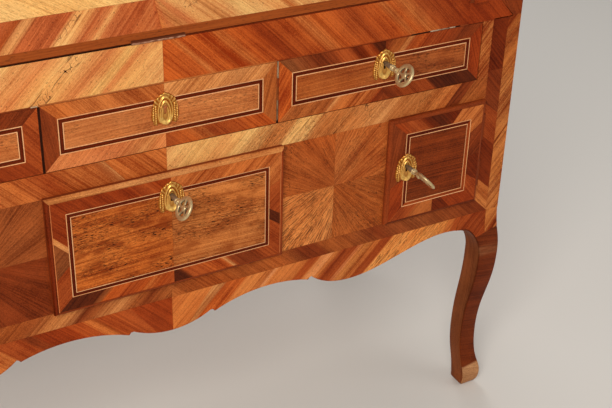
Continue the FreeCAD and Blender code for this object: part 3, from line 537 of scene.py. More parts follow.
def lay(name, body, on, leaves, bulge=None, sunk=LEAF_SUNK):
    """All the leaves of one board as one piece."""
    parts = [leaf_arrays(piece, on, bulge, sunk) for piece in leaves]
    starts = np.cumsum([0] + [len(part[0]) for part in parts[:-1]])
    points, *values = (np.concatenate([part[k] for part in parts]) for k in range(5))
    faces = np.concatenate([part[5] + start for part, start in zip(parts, starts)])
    piece = new_piece(name, points, faces, body, "veneered_wood", VENEER)
    dress(piece.data, *values)
    print(name, len(leaves), "leaves")
    return piece


# %% [markdown]
# ## Patterns that the cabinet maker used
# Nearly everything on the front is one of three patterns: a run of leaves cut at a slant, the four mitred
# sides of a frame, and a panel inside two pale lines and a dark one. A function for each keeps the rest of
# the script down to lists of places and woods.

# %% Runs, columns and soft bands


def joints(cuts, rise):
    """Both ends of each joint. A cut is one place, which moves on by rise, or a pair of places."""
    return [cut if isinstance(cut, tuple) else (cut, cut + rise) for cut in cuts]


def straight(*places):
    """Cuts square across a run or a column."""
    return [(place, place) for place in places]


def run(low, high, cuts, woods, grain, lean=0.0):
    """Leaves between two heights, cut at places along them. A joint moves by lean mm per mm of height, and
    one written as a pair is (place at the bottom, place at the top)."""
    ends = joints(cuts, (high - low) * lean)
    return [
        leaf(patch([(a[0], low), (b[0], low), (b[1], high), (a[1], high)]), grain, wood)
        for a, b, wood in zip(ends, ends[1:], woods)
    ]


def column(left, right, cuts, woods, grain):
    """Leaves between two sides, one above the other. A cut is (height at the left, height at the right)."""
    return [
        leaf(patch([(left, a[0]), (right, a[1]), (right, b[1]), (left, b[0])]), grain, wood)
        for a, b, wood in zip(cuts, cuts[1:], woods)
    ]


def banded(low, high, bands, grain, lean):
    """One sheet whose tone changes softly along it. bands holds (place, wood), with places as in run."""
    places, woods = zip(*bands)
    ends = joints(places, (high - low) * lean)
    places = np.array([ends[0], *ends, ends[-1]], float)
    places[1] += ARRIS
    places[-2] -= ARRIS
    t = stations(high - low, 1)
    x = places[:, :1] * (1 - t) + places[:, 1:] * t
    grid = np.stack([x, np.broadcast_to(low + t * (high - low), x.shape)], -1)
    return [leaf(grid, grain, [woods[0], *woods, woods[-1]])]


def mirrored(leaves):
    """The same leaves on the other side of the middle line."""
    made = []
    for piece in leaves:
        wood = piece["wood"] if isinstance(piece["wood"], str) else piece["wood"][::-1]
        angle = 180 - math.degrees(piece["grain"])
        made.append(leaf(piece["grid"][::-1] * (-1, 1), angle, wood, piece["seed"], piece["joint"]))
    return made


print("square cuts are pairs:", straight(1, 2))

# %% Mitred frames
SIDES = ("bottom", "right", "top", "left")
BAND_STEP = 0.04


def inset(rect, by):
    """A rectangle (left, right, low, high) made smaller. by is one number or one per side."""
    left, right, low, high = rect
    by_left, by_right, by_low, by_high = by if isinstance(by, tuple) else (by,) * 4
    return (left + by_left, right - by_right, low + by_low, high - by_high)


def rect_corners(rect):
    """Corners counterclockwise from the lower left."""
    left, right, low, high = rect
    return [np.array(p, float) for p in ((left, low), (right, low), (right, high), (left, high))]


def sheet_of(rect, grain, wood, seed=None, joint=JOINT_SHADE):
    """One leaf on a rectangle."""
    return leaf(patch(rect_corners(rect)), grain, wood, seed, joint)


def soft_leaf(start, end, axis, bands, grain, inward):
    """A leaf between two joints whose tone changes softly at places along it, on lines that follow the grain.
    A joint is a pair of points, one on the outer and one on the inner edge."""
    a, d = start
    depth = abs(d[1 - axis] - a[1 - axis])
    slope = math.tan(math.radians(grain))
    shift = inward * depth * (slope if axis else 1 / slope)
    step = np.zeros(2)
    step[axis] = ARRIS
    rows, woods = [start, (a + step, d + step)], [bands[0][1]] * 2
    for k, (place, wood) in enumerate(bands):
        row = []
        for edge, moved in enumerate((place, place + shift)):
            point = start[edge].copy()
            limit = end[edge][axis] - ARRIS - BAND_STEP * (len(bands) - k)
            point[axis] = np.clip(moved, rows[-1][edge][axis] + BAND_STEP, limit)
            row.append(point)
        rows.append(tuple(row))
        woods.append(wood)
    points = np.array([*rows, (end[0] - step, end[1] - step), end])
    t = stations(depth, 1)[None, :, None]
    grid = points[:, :1] * (1 - t) + points[:, 1:] * t
    if np.cross(grid[-1, 0] - grid[0, 0], grid[0, -1] - grid[0, 0]) < 0:
        grid = grid[:, ::-1]
    return leaf(grid, grain, woods + [bands[-1][1]] * 2)


def framed(outer, inner, spec):
    """The four mitred sides between two rectangles. spec gives, for each side, a list of
    (wood, grain, end, lean): the leaf ends at that X or Z, with a joint that leans by lean mm per mm
    towards the panel. The last leaf of a side needs no end. A list of (place, wood) gives a soft leaf."""
    out, inn = rect_corners(outer), rect_corners(inner)
    leaves = []
    for k, side in enumerate(SIDES):
        axis = k % 2
        a, b, c, d = out[k], out[(k + 1) % 4], inn[(k + 1) % 4], inn[k]
        if side in ("top", "left"):
            a, b, c, d = b, a, d, c
        depth = abs(d[1 - axis] - a[1 - axis])
        inward = 1 if side in ("bottom", "left") else -1
        start = (a, d)
        for wood, grain, *cut in spec[side]:
            end = (b, c)
            if cut:
                end = (a.copy(), d.copy())
                end[0][axis] = cut[0]
                end[1][axis] = cut[0] + cut[1] * depth
            if isinstance(wood, str):
                leaves.append(leaf(patch([start[0], end[0], end[1], start[1]]), grain, wood))
            else:
                leaves.append(soft_leaf(start, end, axis, wood, grain, inward))
            start = end
    return leaves


print("frame sides in order:", *SIDES)

# %% Strung panels
STRINGING = ("pale_string", "dark_string", "pale_string")
FADED_STRING = "rust"


def strung_panel(rect, widths, panel, faded=()):
    """Pale line, dark band and pale line round a panel, each with the grain along it. The dark band is brown
    on the faded sides. panel holds (wood, grain, end) for each leaf from the left."""
    leaves = []
    for string, width in zip(STRINGING, widths):
        smaller = inset(rect, width)
        spec = {}
        for k, side in enumerate(SIDES):
            worn = string == "dark_string" and side in faded
            spec[side] = [(FADED_STRING if worn else string, 90 * (k % 2))]
        leaves += framed(rect, smaller, spec)
        rect = smaller
    left, right, low, high = rect
    edges = [left] + [end for _, _, end in panel[:-1]] + [right]
    for (wood, grain, _), x0, x1 in zip(panel, edges, edges[1:]):
        leaves.append(sheet_of((x0, x1, low, high), grain, wood))
    return leaves


print("strings from the outside:", *STRINGING)

# %% [markdown]
# ## The frieze under the lid
# One broad band meets in a chevron over the middle: golden wood leaning up to the right on one side, deep
# orange leaning the other way on the other. At each end it is mitred to an upright leaf of dark wood. A
# square hole near each end lets the loper out, so the leaves stop around it.

# %% Ends of the frieze
BAND_LOW, BAND_HIGH = frieze_low[2], frieze_high[2]
LOPER_ROOM, LOPER_HEADROOM = 1.0, 0.6
HOLE_X = (loper_low[0] - LOPER_ROOM, loper_high[0] + LOPER_ROOM)
HOLE_Z = (loper_low[2] - LOPER_ROOM, loper_high[2] + LOPER_HEADROOM)
WEDGE_LOW = BAND_LOW + 2
MITRE_TOP_X, MITRE_FOOT_X = 464.0, 515.0
# The frieze's two edge strips carry painted shade: the upper one is painted shadow under the nosing, the lower one
# has pale worn chips and painted shade in the gap over the drawers.
WORN_AND_SHADED_EDGE, SHADOW_EDGE = 1.3, 1.6
LOW, HIGH = BAND_LOW + WORN_AND_SHADED_EDGE, BAND_HIGH - SHADOW_EDGE
SOFT_JOINT = 0.9
LOPER_WOODS = {"right": ("russet", 11), "left": ("tan", 12)}


def mitre_x(z):
    """Where the end mitre is at a height."""
    share = (BAND_HIGH - z) / (BAND_HIGH - WEDGE_LOW)
    return MITRE_TOP_X + share * (MITRE_FOOT_X - MITRE_TOP_X)


def frieze_end(wood, seed):
    """Leaves round the right loper's hole, all of one flitch, and the dark mitred end."""
    x0, x1 = HOLE_X
    z0, z1 = HOLE_Z
    quads = [
        [(x0, BAND_LOW), (MITRE_FOOT_X, BAND_LOW), (mitre_x(z0), z0), (x0, z0)],
        [(x1, z0), (mitre_x(z0), z0), (mitre_x(z1), z1), (x1, z1)],
        [(x0, z1), (mitre_x(z1), z1), (mitre_x(HIGH), HIGH), (x0, HIGH)],
    ]
    leaves = [leaf(patch(quad), -45, wood, seed, SOFT_JOINT) for quad in quads]
    wedge = [(MITRE_FOOT_X, WEDGE_LOW), (HALF, WEDGE_LOW), (HALF, BAND_HIGH), (MITRE_TOP_X, BAND_HIGH)]
    return leaves + [leaf(patch(wedge), -60, "umber")]


print("loper hole from", round(HOLE_X[0], 1), "to", round(HOLE_X[1], 1), "mm")

# %% Frieze leaves
END_X = HOLE_X[0]
OVERHANG = 0.4
right_bands = [
    ((0, 0), "orange"), (57, "orange"), (64, "tawny"), (72, "orange"), (108, "orange"), (121, "tawny"),
    (136, "orange"), (170, "russet"), (214, "orange"), (232, "tawny"), (250, "orange"), (300, "rust"),
    (338, "orange"), (350, "tawny"), (361, "orange"), (380, "tawny"), (398, "rust"),
    ((END_X, END_X), "russet"),
]
left_bands = [
    ((-END_X, -END_X), "peach"), (-430, "gold"), (-360, "peach"), (-300, "gold"), (-262, "peach"),
    (-244, "straw"), (-226, "gold"), (-190, "peach"), (-168, "gold"), (-150, "tracked_gold"), (-138, "gold"),
    (-112, "peach"), (-97, "gold"), (-91, "straw"), (-82, "straw"), (-75, "peach"), (-62, "gold"),
    ((0, 0), "gold"),
]
chipped_and_shaded_cuts = straight(-END_X, -160, -152, 0, 150, 348, 378, 418, 426, END_X)
chipped_and_shaded_woods = ["umber", "worn_pale", "tan", "tawny", "rust", "grime", "worn_pale", "grime", "umber"]
frieze = banded(LOW, HIGH, right_bands, -45, -1.0) + banded(LOW, HIGH, left_bands, 45, 1.0)
frieze += frieze_end(*LOPER_WOODS["right"]) + mirrored(frieze_end(*LOPER_WOODS["left"]))
# Painted shadow under the nosing: the near-black tone on the left half, dark mahogany on the right.
frieze += run(HIGH, BAND_HIGH, straight(-MITRE_TOP_X, 0, MITRE_TOP_X), ["grime", "mahogany"], 0)
# Pale chips are wear; the near-black pieces are painted shade in the gap over the drawers.
frieze += run(BAND_LOW - OVERHANG, LOW, chipped_and_shaded_cuts, chipped_and_shaded_woods, 0)
lay("frieze_veneer", "carcase", FRONT, frieze)

# %% [markdown]
# ## The flush frieze drawers
# Each front has a mitred border of slanting leaves, a strung frame and a plain panel with the grain along it.
# The border's tones change softly within a leaf, as they do where the knife passes from sapwood to heart.

# %% Frieze drawer leaves
FRIEZE_BORDER = 18.6
FRIEZE_STRING = (1.2, 4.6, 1.3)
frieze_specs = {
    "left": {
        "top": [
            ("russet", -50, -408, -1.0), ("rust", -50, -330, -1.0), ("umber", 50, -246, 1.0), ("umber", 50),
        ],
        "bottom": [
            ("fumed", 45, -398, 1.0), ("rust", 45, -309, 0), ("umber", -45, -222, -1.0), ("russet", -45),
        ],
        "left": [("russet", 70)],
        "right": [("rust", -50)],
    },
    "centre": {
        "top": [("tawny", -48, 0, 0), ("tan", 45)],
        "bottom": [
            ([(-140, "salmon"), (-70, "blush"), (-30, "tan"), (-8, "peach")], 46, 0, 0),
            ([(10, "rust"), (40, "orange"), (62, "tawny"), (70, "rust"), (140, "orange")], -45),
        ],
        "left": [("umber", -78)],
        "right": [("chestnut", 75)],
    },
    "right": {
        "top": [
            ([(160, "dusky"), (200, "umber"), (218, "umber"), (232, "rust"), (250, "rust"),
              (258, "mahogany"), (271, "mahogany"), (278, "rust"), (284, "russet"), (290, "fumed"),
              (304, "fumed")], -50, 309, 0),
            ([(312, "umber"), (330, "chestnut"), (342, "chestnut"), (346, "tan"), (351, "tan"), (356, "rust"),
              (374, "orange"), (382, "russet"), (394, "rust"), (406, "russet"), (440, "umber")], 50),
        ],
        "bottom": [
            ([(160, "chestnut"), (216, "chestnut"), (222, "tan"), (230, "tawny"), (280, "tawny"),
              (290, "russet"), (305, "umber")], 45, 309, 0),
            ([(312, "umber"), (336, "umber"), (346, "rust"), (392, "rust"), (398, "fumed"),
              (440, "fumed")], -45),
        ],
        "left": [("orange", 60)],
        "right": [("russet", -70)],
    },
}
frieze_panels = {
    "left": [("dusk_panel", 2, -309), ("rose_panel", 178, None)],
    "centre": [("rose_panel", 2, 0), ("pink_panel", 178, None)],
    "right": [("copper_panel", 2, 309), ("dusk_panel", 178, None)],
}
for name, spec in frieze_specs.items():
    outer = front_rect(f"{name}_frieze_drawer_front")
    strung = inset(outer, FRIEZE_BORDER)
    leaves = framed(outer, strung, spec) + strung_panel(strung, FRIEZE_STRING, frieze_panels[name])
    lay(f"{name}_frieze_drawer_veneer", f"{name}_frieze_drawer", FRONT, leaves)

# %% [markdown]
# ## Rails
# The rails between the drawers are covered with slanting leaves that change direction at the middle. Behind
# the lipped fronts a plain strip is enough. The bolt of the lower drawer shoots up into the rail above it,
# so that strip is left open over the bolt.

# %% Rail leaves
RAIL_LOW, RAIL_HIGH = mid_low[2] + 7, mid_high[2]
BASE_LOW, BASE_HIGH = base_low[2] - 2, base_high[2] - 10
STILE_A, STILE_B, STILE_C = 464.8, 482.0, 507.0
DRAWER_X = 149
DOOR_BAYS = ((330, 464.5), (-464.5, -330))
BOLT_WAY = (8.0, 21.0)
MID_LEAN = 0.8
mid_right = [
    ((0, 0), "gold"), (20, "straw"), (60, "gold"), (90, "straw"), (116, "wormy_gold"), (128, "wormy_amber"),
    (150, "wormy_amber"), (160, "wormy_gold"), (190, "wormy_gold"), (197, "wormy_amber"),
    (260, "wormy_amber"), (300, "tan"), (360, "wormy_amber"), (412, "tawny"),
]
mid_left = [(-300, "tawny"), (-180, "tawny"), (-130, "rust"), (-100, "tawny"), (-70, "tawny"), (-53, "tan")]
base_right = [
    ((0, 0), "chestnut"), (70, "fox"), (110, "chestnut"), (165, "fox"), (190, "walnut"), (206, "umber"),
    (232, "umber"), (246, "chestnut"), (300, "walnut"), (330, "umber"), (400, "walnut"),
    ((STILE_C, STILE_B), "umber"),
]
base_left = [
    ((-STILE_C, -STILE_B), "umber"), (-300, "walnut"), (-230, "chestnut"), (-200, "walnut"), (-150, "tan"),
    (-130, "umber"), (-112, "walnut"), (-84, "tan"), (-60, "chestnut"), (-40, "umber"), ((0, 0), "chestnut"),
]
mid_rail = (RAIL_LOW, RAIL_HIGH)
rails = banded(*mid_rail, mid_right, 45, MID_LEAN)
rails += run(*mid_rail, [412, 434, (STILE_B, STILE_B)], ["umber", "chestnut"], 45, MID_LEAN)
rails += run(*mid_rail, [(-STILE_B, -STILE_B), -400, -300], ["chestnut", "amber"], -45, -MID_LEAN)
rails += banded(*mid_rail, mid_left, -45, -MID_LEAN)
rails += run(*mid_rail, [-53, (0, 0)], ["tawny"], -45, -MID_LEAN)
for x0, x1 in ((-DRAWER_X, BOLT_WAY[0]), (BOLT_WAY[1], DRAWER_X), *DOOR_BAYS):
    rails += run(mid_low[2], RAIL_LOW, straight(x0, x1), ["umber"], 0)
for x0, x1 in ((-DRAWER_X, DRAWER_X), *DOOR_BAYS):
    rails += run(BASE_HIGH, base_high[2], straight(x0, x1), ["umber"], 0)
rails += banded(BASE_LOW, BASE_HIGH, base_right, -45, -1.0)
rails += banded(BASE_LOW, BASE_HIGH, base_left, 45, 1.0)
lay("rail_veneer", "carcase", FRONT, rails)

# %% [markdown]
# ## Stiles and dividers
# Three columns of leaves climb each corner post: a narrow pale one, a dark one and a pale one at the edge.
# The post lies a little behind the rails, so these leaves reach back to it. Between the frieze drawers only
# the edge of a divider shows, pale where it is worn and painted dark as shade in the gap.

# %% Stile and divider leaves
POST_RECESS = 1.5
DIVIDER_SET = 0.15
DIVIDER_X = (150.3, 152.7)
stile = column(STILE_A, STILE_B, straight(RAIL_HIGH, BAND_LOW), ["hatched"], 50)
stile_cuts = [(BASE_HIGH, BASE_LOW), (392, 370), (462, 440), (512, 492)]
stile_cuts += straight(mid_high[2] + 10, WEDGE_LOW)
stile += column(STILE_B, STILE_C, stile_cuts, ["amber", "mahogany", "rust", "umber", "mahogany"], -48)
edge_cuts = [(BASE_LOW, BASE_LOW), (440, 470), (WEDGE_LOW, WEDGE_LOW)]
stile += column(STILE_C, HALF, edge_cuts, ["hatched", "hatched"], 50)
lay("stile_veneer", "carcase", FRONT, stile + mirrored(stile), None, POST_RECESS + 0.1)

divider_face = front_face(FRONT_Y + DIVIDER_SET)
guide_y = box_mm("frieze_drawer_guides")[0][1]
worn_cuts = straight(RAIL_HIGH + 0.2, 554, 582, 600, 612, BAND_LOW - 0.6)
# The near-black pieces of the dividers, and all of the left one, are painted shade in the gap between the drawers;
# the pale pieces are wear.
dividers = column(*DIVIDER_X, worn_cuts, ["grime", "worn_pale", "dusky", "umber", "worn_pale"], 90)
dividers += column(-DIVIDER_X[1], -DIVIDER_X[0], [worn_cuts[0], worn_cuts[-1]], ["grime"], 90)
lay("drawer_dividers", "carcase", divider_face, dividers, None, guide_y - FRONT_Y - DIVIDER_SET)

# %% [markdown]
# ## The quartered panels
# Beside the lower drawer four squares of veneer point their grain at one centre, like a star. In each square
# the grain spreads a little as it goes out, so it is a fan that starts some way behind the centre.

# %% Parquetry leaves
STAR_X, STAR_Z = 239.5, 439.0
STAR_EDGES = (322.6, 330)
FAN_BACK = 0.8
FAN_STEPS = (20, 20)


def star(left, right, centre, woods):
    """Four leaves that meet at a centre, woods from the top left, clockwise. The grain of each spreads from a
    point that lies FAN_BACK times as far behind the centre as the leaf's middle lies before it."""
    x, z = centre
    low, high = BASE_HIGH, RAIL_LOW
    quarters = [(left, x, z, high), (x, right, z, high), (x, right, low, z), (left, x, low, z)]
    made = []
    for rect, wood in zip(quarters, woods):
        grid = patch(rect_corners(rect), FAN_STEPS)
        source = np.array(centre) - FAN_BACK * (grid.mean((0, 1)) - centre)
        made.append(leaf(grid, 0, wood, fan=source))
    return made


right_woods = ("ray_fox", "ray_tawny", "ray_brown", "wormy_tan")
left_woods = ("chestnut", "walnut", "umber", "chestnut")
parquetry = star(DRAWER_X, STAR_EDGES[0], (STAR_X, STAR_Z), right_woods)
parquetry += star(-STAR_EDGES[1], -DRAWER_X, (-STAR_X, STAR_Z), left_woods)
lay("parquetry_veneer", "carcase", FRONT, parquetry)

# %% [markdown]
# ## The deep drawer and the cupboard doors
# Their fronts stand proud of the case behind a rounded lip of solid wood, and carry the same frame and panel.
# The drawer's panel is burr wood, opened like a book at the middle, and the left door mirrors the right one.

# %% Lower drawer leaves
LIP_ROUND = 5.0
EDGE_HIGHLIGHT = 1.0
LOWER_BORDER, LOWER_STRING = (18.5, 17.0, 17.5, 17.0), (1.0, 4.2, 1.0)
lower_spec = {
    "top": [([(-120, "russet"), (-60, "russet"), (-40, "rust"), (-20, "russet")], -45, 0, 0), ("tawny", 45)],
    "bottom": [
        ([(-140, "fumed"), (-112, "fumed"), (-102, "dusky"), (-96, "orange"), (-64, "rust"), (-48, "orange"),
          (-40, "tawny"), (-24, "orange"), (-8, "rust")], 45, 0, 0),
        ([(3, "fumed"), (24, "fumed"), (29, "rust"), (70, "orange"), (82, "orange"), (86, "tan"),
          (91, "rust"), (97, "umber"), (120, "umber"), (136, "rust")], -45),
    ],
    "left": [("rust", 45, 408, 1.0), ("dusky", 45, 460, -1.0), ("tan", -45, 469, -1.0), ("russet", -45)],
    "right": [("rust", -45, 408, 0.7), ("fumed", -45, 424, 0.7), ("rust", 45, 475, -0.5), ("tawny", 45)],
}
flat = inset(lower_rect, LIP_ROUND)
strung = inset(flat, LOWER_BORDER)
inside_highlight = inset(flat, (EDGE_HIGHLIGHT, EDGE_HIGHLIGHT, 0.0, 0.0))
leaves = framed(inside_highlight, strung, lower_spec)
# Thin salmon strips at the left and right of the flat are a painted highlight on the lip's rounded edge.
for x0, x1 in ((flat[0], inside_highlight[0]), (inside_highlight[1], flat[1])):
    leaves += column(x0, x1, straight(*flat[2:]), ["salmon"], 90)
leaves += strung_panel(strung, LOWER_STRING, [("burr_panel", 2, 0), ("pale_burr", 178, None)])
lay("lower_drawer_veneer", "lower_drawer", LIP, leaves)

# %% Door leaves
DOOR_BORDER, DOOR_STRING = (21.5, 19.5, 19.0, 19.0), (1.2, 4.4, 1.2)
door_spec = {
    "top": [
        ([(330, "russet"), (348, "rust"), (362, "rust"), (372, "mahogany"), (394, "fumed"),
          (424, "mahogany")], -45, 438, -0.75),
        ("tawny", 45),
    ],
    "bottom": [
        ("rust", 45, 358, 0.9), ("chestnut", 45, 400, 0), ("mahogany", -45, 430, -0.8), ("russet", -45),
    ],
    "left": [("russet", 60, 415, 0.5), ("umber", 80)],
    "right": [("rust", -50, 395, 0.7), ("mahogany", -50, 438, 0), ("umber", 50, 487, -0.7), ("tawny", 45)],
}
flat = inset(door_rect, LIP_ROUND)
strung = inset(flat, DOOR_BORDER)
leaves = framed(flat, strung, door_spec)
leaves += strung_panel(strung, DOOR_STRING, [("dark_panel", 0, None)], ("right", "bottom"))
lay("right_door_veneer", "right_cupboard_door", DOOR, leaves)
lay("left_door_veneer", "left_cupboard_door", DOOR, mirrored(leaves))

# %% [markdown]
# ## The lid
# The lid carries the palest wood, framed by a border of slanting leaves that meet in a chevron at the middle.
# Close to the chevron the bands can't keep their slant without crossing it, so there both of their ends are
# given.

# %% Lid leaves
LID_BORDER = 35.5
BORDER_GRAIN, BORDER_LEAN = 44, 1.03
inner_x, inner_top = HALF - LID_BORDER, LID_LENGTH - LID_BORDER
border_left = [
    ((-HALF, -inner_x), "salmon"), (-480, "tan"), (-420, "salmon"), (-330, "tan"), (-250, "blush"),
    (-214, "rosewood"), (-194, "rust"), (-187, "tan"), (-179, "tan"), (-172, "rosewood"), (-134, "rosewood"),
    (-127, "tracked_gold"), (-117, "gold"), (-109, "tan"), (-101, "salmon"), (-97, "rosewood"),
    (-91, "salmon"), (-86, "salmon"), (-80, "gold"), (-74, "salmon"), (-68, "blush"), (-44, "rosewood"),
    ((-24, -4), "blush"), ((-10, -2), "blush"), ((0, 0), "rosewood"),
]
border_right = [
    ((0, 0), "coral"), ((9, 1), "salmon"), ((24, 2.5), "tan"), (41, "salmon"), (52, "gold"), (84, "tan"),
    (96, "gold"), (114, "straw"), (150, "gold"), (164, "gold"), (172, "tawny"), (184, "gold"), (240, "tan"),
    (330, "gold"), (420, "tan"), ((HALF, inner_x), "gold"),
]
lid_leaves = banded(0, LID_BORDER, border_left, BORDER_GRAIN, BORDER_LEAN)
lid_leaves += banded(0, LID_BORDER, border_right, -BORDER_GRAIN, -BORDER_LEAN)
head_cuts = [(-inner_x, -HALF), (0, 0), (inner_x, HALF)]
lid_leaves += run(inner_top, LID_LENGTH, head_cuts, ["salmon", "gold"], 50)
end_cuts = [(0, LID_BORDER), (LID_LENGTH / 2, LID_LENGTH / 2), (LID_LENGTH, inner_top)]
lid_ends = column(-HALF, -inner_x, end_cuts, ["salmon", "gold"], -45)
lid_leaves += lid_ends + mirrored(lid_ends)
lid_leaves += run(LID_BORDER, inner_top, straight(-inner_x, 0, inner_x), ["straw", "straw"], -32)
lay("lid_veneer", "lid", LID, lid_leaves)

# %% [markdown]
# ## The scalloped apron
# The apron's lower edge could be drawn again here, but reading it from the CAD piece makes sure that the
# leaves always end on it. Each leaf is a fan of slanted lines: every line starts at the base band and comes
# down to the scalloped edge.

# %% Scalloped leaves
TOUCH = 0.02
LONGEST_FALL, FALL_STEP = 80, 0.1
EDGE_SET, LEAST_HEIGHT, USUAL_HEIGHT = 0.25, 2.0, 40


def node_points(node):
    """Every point of a CAD node, in millimetres."""
    vertices = frame["nodes"][node].data.vertices
    points = np.empty(3 * len(vertices), np.float32)
    vertices.foreach_get("co", points)
    return points.reshape(-1, 3).astype(float) / MM


def lower_edge(node, face_axis, at, along_axis, below):
    """Places along a board and the height of its lower edge there, from the CAD points on one face of it."""
    points = node_points(node)
    points = points[(np.abs(points[:, face_axis] - at) < TOUCH) & (points[:, 2] < below)]
    along = points[:, along_axis]
    places = np.unique(np.round(along, 2))
    near = np.abs(along - places[:, None]) < TOUCH
    return places, np.where(near, points[:, 2], np.inf).min(1)


def fringe(edge, top, start, end, leans, grain, bands, steps):
    """A leaf from a scalloped edge up to a straight line. leans holds (place, shift per mm of height), bands
    holds (place, wood). A line through (a, top) is followed down to the first height z that lies below
    edge(a + lean (z - top))."""
    a = start + (end - start) * stations(end - start, steps)
    lean = np.interp(a, *zip(*leans))[:, None]
    places, woods = zip(*bands)
    wood = [woods[k] for k in np.searchsorted(places, a, "right") - 1]
    fall = np.arange(0, LONGEST_FALL, FALL_STEP)
    below = top - fall < np.interp(a[:, None] - lean * fall, *edge)
    z = np.minimum(top - fall[np.argmax(below, 1)] + EDGE_SET, top - LEAST_HEIGHT)
    heights = z[:, None] + stations(USUAL_HEIGHT, 3)[None, :] * (top - z)[:, None]
    grid = np.stack([a[:, None] + lean * (heights - top), heights], -1)
    return leaf(grid, grain, wood)


apron_edge = lower_edge("front_apron", 1, FRONT_Y, 0, BASE_LOW - 4)
print("apron edge from", round(apron_edge[1].min(), 1), "to", round(apron_edge[1].max(), 1), "mm high")

# %% Apron leaves
APRON_X = 462
APRON_STEPS = 116
APRON_LEANS = [(-APRON_X, -0.35), (-395, -1.0), (-80, -1.0), (0, 0.0), (80, 1.0), (395, 1.0), (APRON_X, 0.35)]
right_apron = [
    (0, "coral"), (60, "tan"), (76, "orange"), (110, "coral"), (136, "tawny"), (148, "peach"), (158, "coral"),
    (182, "tawny"), (204, "rust"), (220, "tawny"), (226, "peach"), (244, "tawny"), (256, "rust"),
    (284, "salmon"), (294, "hatched"), (314, "tawny"), (324, "rust"), (343, "wormy_coral"), (438, "tawny"),
    (450, "rust"),
]
left_apron = [
    (-APRON_X, "tawny"), (-400, "rust"), (-300, "tawny"), (-235, "rust"), (-200, "umber"), (-186, "russet"),
    (-140, "rust"), (-120, "tawny"), (-104, "rust"), (-60, "russet"),
]
apron = [
    fringe(apron_edge, BASE_LOW, 0, APRON_X, APRON_LEANS, 45, right_apron, APRON_STEPS),
    fringe(apron_edge, BASE_LOW, -APRON_X, 0, APRON_LEANS, -45, left_apron, APRON_STEPS),
]
lay("apron_veneer", "carcase", FRONT, apron)

# %% [markdown]
# ## Rounded lips
# The lips of the deep drawer and the doors are solid wood with a quarter-round edge, mitred at the corners.
# A Bevel modifier would round them too, but its corners have no mitre, and the grain has to turn there. So
# each side is a strip of its own that bends down to the outline.

# %% Lip mouldings
RIM_OUT = 0.2
RIM_ROUND = LIP_ROUND + RIM_OUT
RIM_JOINT = 0.8
RIM_STEPS = 9


def lay_rim(name, body, on, rect, woods):
    """Four mitred strips, woods for bottom, right, top and left. At the distance d from the outline a strip
    lies at the height h(d) = sqrt(r^2 - (r - d)^2) - r, the arc of a quarter round."""
    left, right, low, high = outline = inset(rect, -RIM_OUT)
    out, inn = rect_corners(outline), rect_corners(inset(outline, RIM_ROUND))
    t = 1 - np.cos(np.linspace(0, math.pi / 2, RIM_STEPS))
    leaves = []
    for k, wood in enumerate(woods):
        a, b, c, d = out[k], out[(k + 1) % 4], inn[(k + 1) % 4], inn[k]
        s = stations(np.linalg.norm(b - a), 3)
        leaves.append(leaf(spread(a, b, c, d, s, t), 90 * (k % 2), wood, None, RIM_JOINT))

    def arc(grid):
        x, z = grid[..., 0], grid[..., 1]
        inside = np.minimum(np.minimum(x - left, right - x), np.minimum(z - low, high - z))
        inside = np.clip(inside, 0, RIM_ROUND)
        return np.sqrt(np.maximum(RIM_ROUND ** 2 - (RIM_ROUND - inside) ** 2, 0)) - RIM_ROUND

    return lay(name, body, on, leaves, arc)


lay_rim("lower_drawer_lip", "lower_drawer", LIP, lower_rect, ("umber", "rust", "tan", "mahogany"))
lay_rim("right_door_lip", "right_cupboard_door", DOOR, door_rect, ("umber",) * 4)
left_rect = (-door_rect[1], -door_rect[0], *door_rect[2:])
lay_rim("left_door_lip", "left_cupboard_door", DOOR, left_rect, ("umber",) * 4)

# %% [markdown]
# ## Cabriole legs
# A cabriole leg is sawn from two faces along one curve, and then its corners are rounded. It could be pulled
# out of a subdivided block, but the sawn shape is easier to write down: a chain of Bezier arcs gives each
# outline, and each height gives one rounded rectangle.

# %% The leg's curves
BASE = base_low[2]
SPRING = BASE - 27.0
KNEE, ANKLE, TOE, SOLE = (-6.5, 258.0), (7.5, 105.0), (-3.0, 24.0), (12.0, 0.0)
HEEL, CALF, HOLLOW = (30.3, 0.0), (36.8, 105.0), (30.0, 258.0)
ARC_POINTS = 60


def bezier(points):
    """A Bezier arc: B(t) = sum of C(n, k) (1 - t)^(n - k) t^k P_k."""
    points = np.array(points, float)
    n = len(points) - 1
    t = np.linspace(0, 1, ARC_POINTS)[:, None]
    return sum(math.comb(n, k) * (1 - t) ** (n - k) * t ** k * points[k] for k in range(n + 1))


def swell(start, end, start_pull=0.45, end_pull=0.45):
    """An arc that leaves and arrives upright. The pulls are shares of its rise."""
    rise = end[1] - start[1]
    return bezier([start, (start[0], start[1] + rise * start_pull), (end[0], end[1] - rise * end_pull), end])


def ear(post):
    """The arc from the hollow behind the knee out to the inner edge of the post."""
    x, z = HOLLOW
    return bezier([HOLLOW, (x, (z + SPRING) / 2), ((x + post) / 2, SPRING), (post, SPRING)])


def leg_inner(post):
    """The inner outline from the heel up, as distances from the side of the case and heights."""
    return np.concatenate([swell(HEEL, CALF), swell(CALF, HOLLOW), ear(post)])


outer_curve = np.concatenate([
    bezier([SOLE, (TOE[0], 0.0), TOE]),
    swell(TOE, ANKLE, 0.25, 0.75),
    swell(ANKLE, KNEE),
    swell(KNEE, (0.0, BASE)),
])


def outer_at(z):
    """How far inside the side of the case the outer outline lies at a height."""
    return np.interp(z, outer_curve[:, 1], outer_curve[:, 0])


print("the knee stands", -KNEE[0], "mm out, at a height of", KNEE[1], "mm")

# %% The leg's rings
CORNER_STEPS = 6
HALF_CORNER = CORNER_STEPS // 2
HEEL_ROUND = 9.0
FRONT_POST, BACK_POST = (64.0, 44.0), (44.0, 44.0)


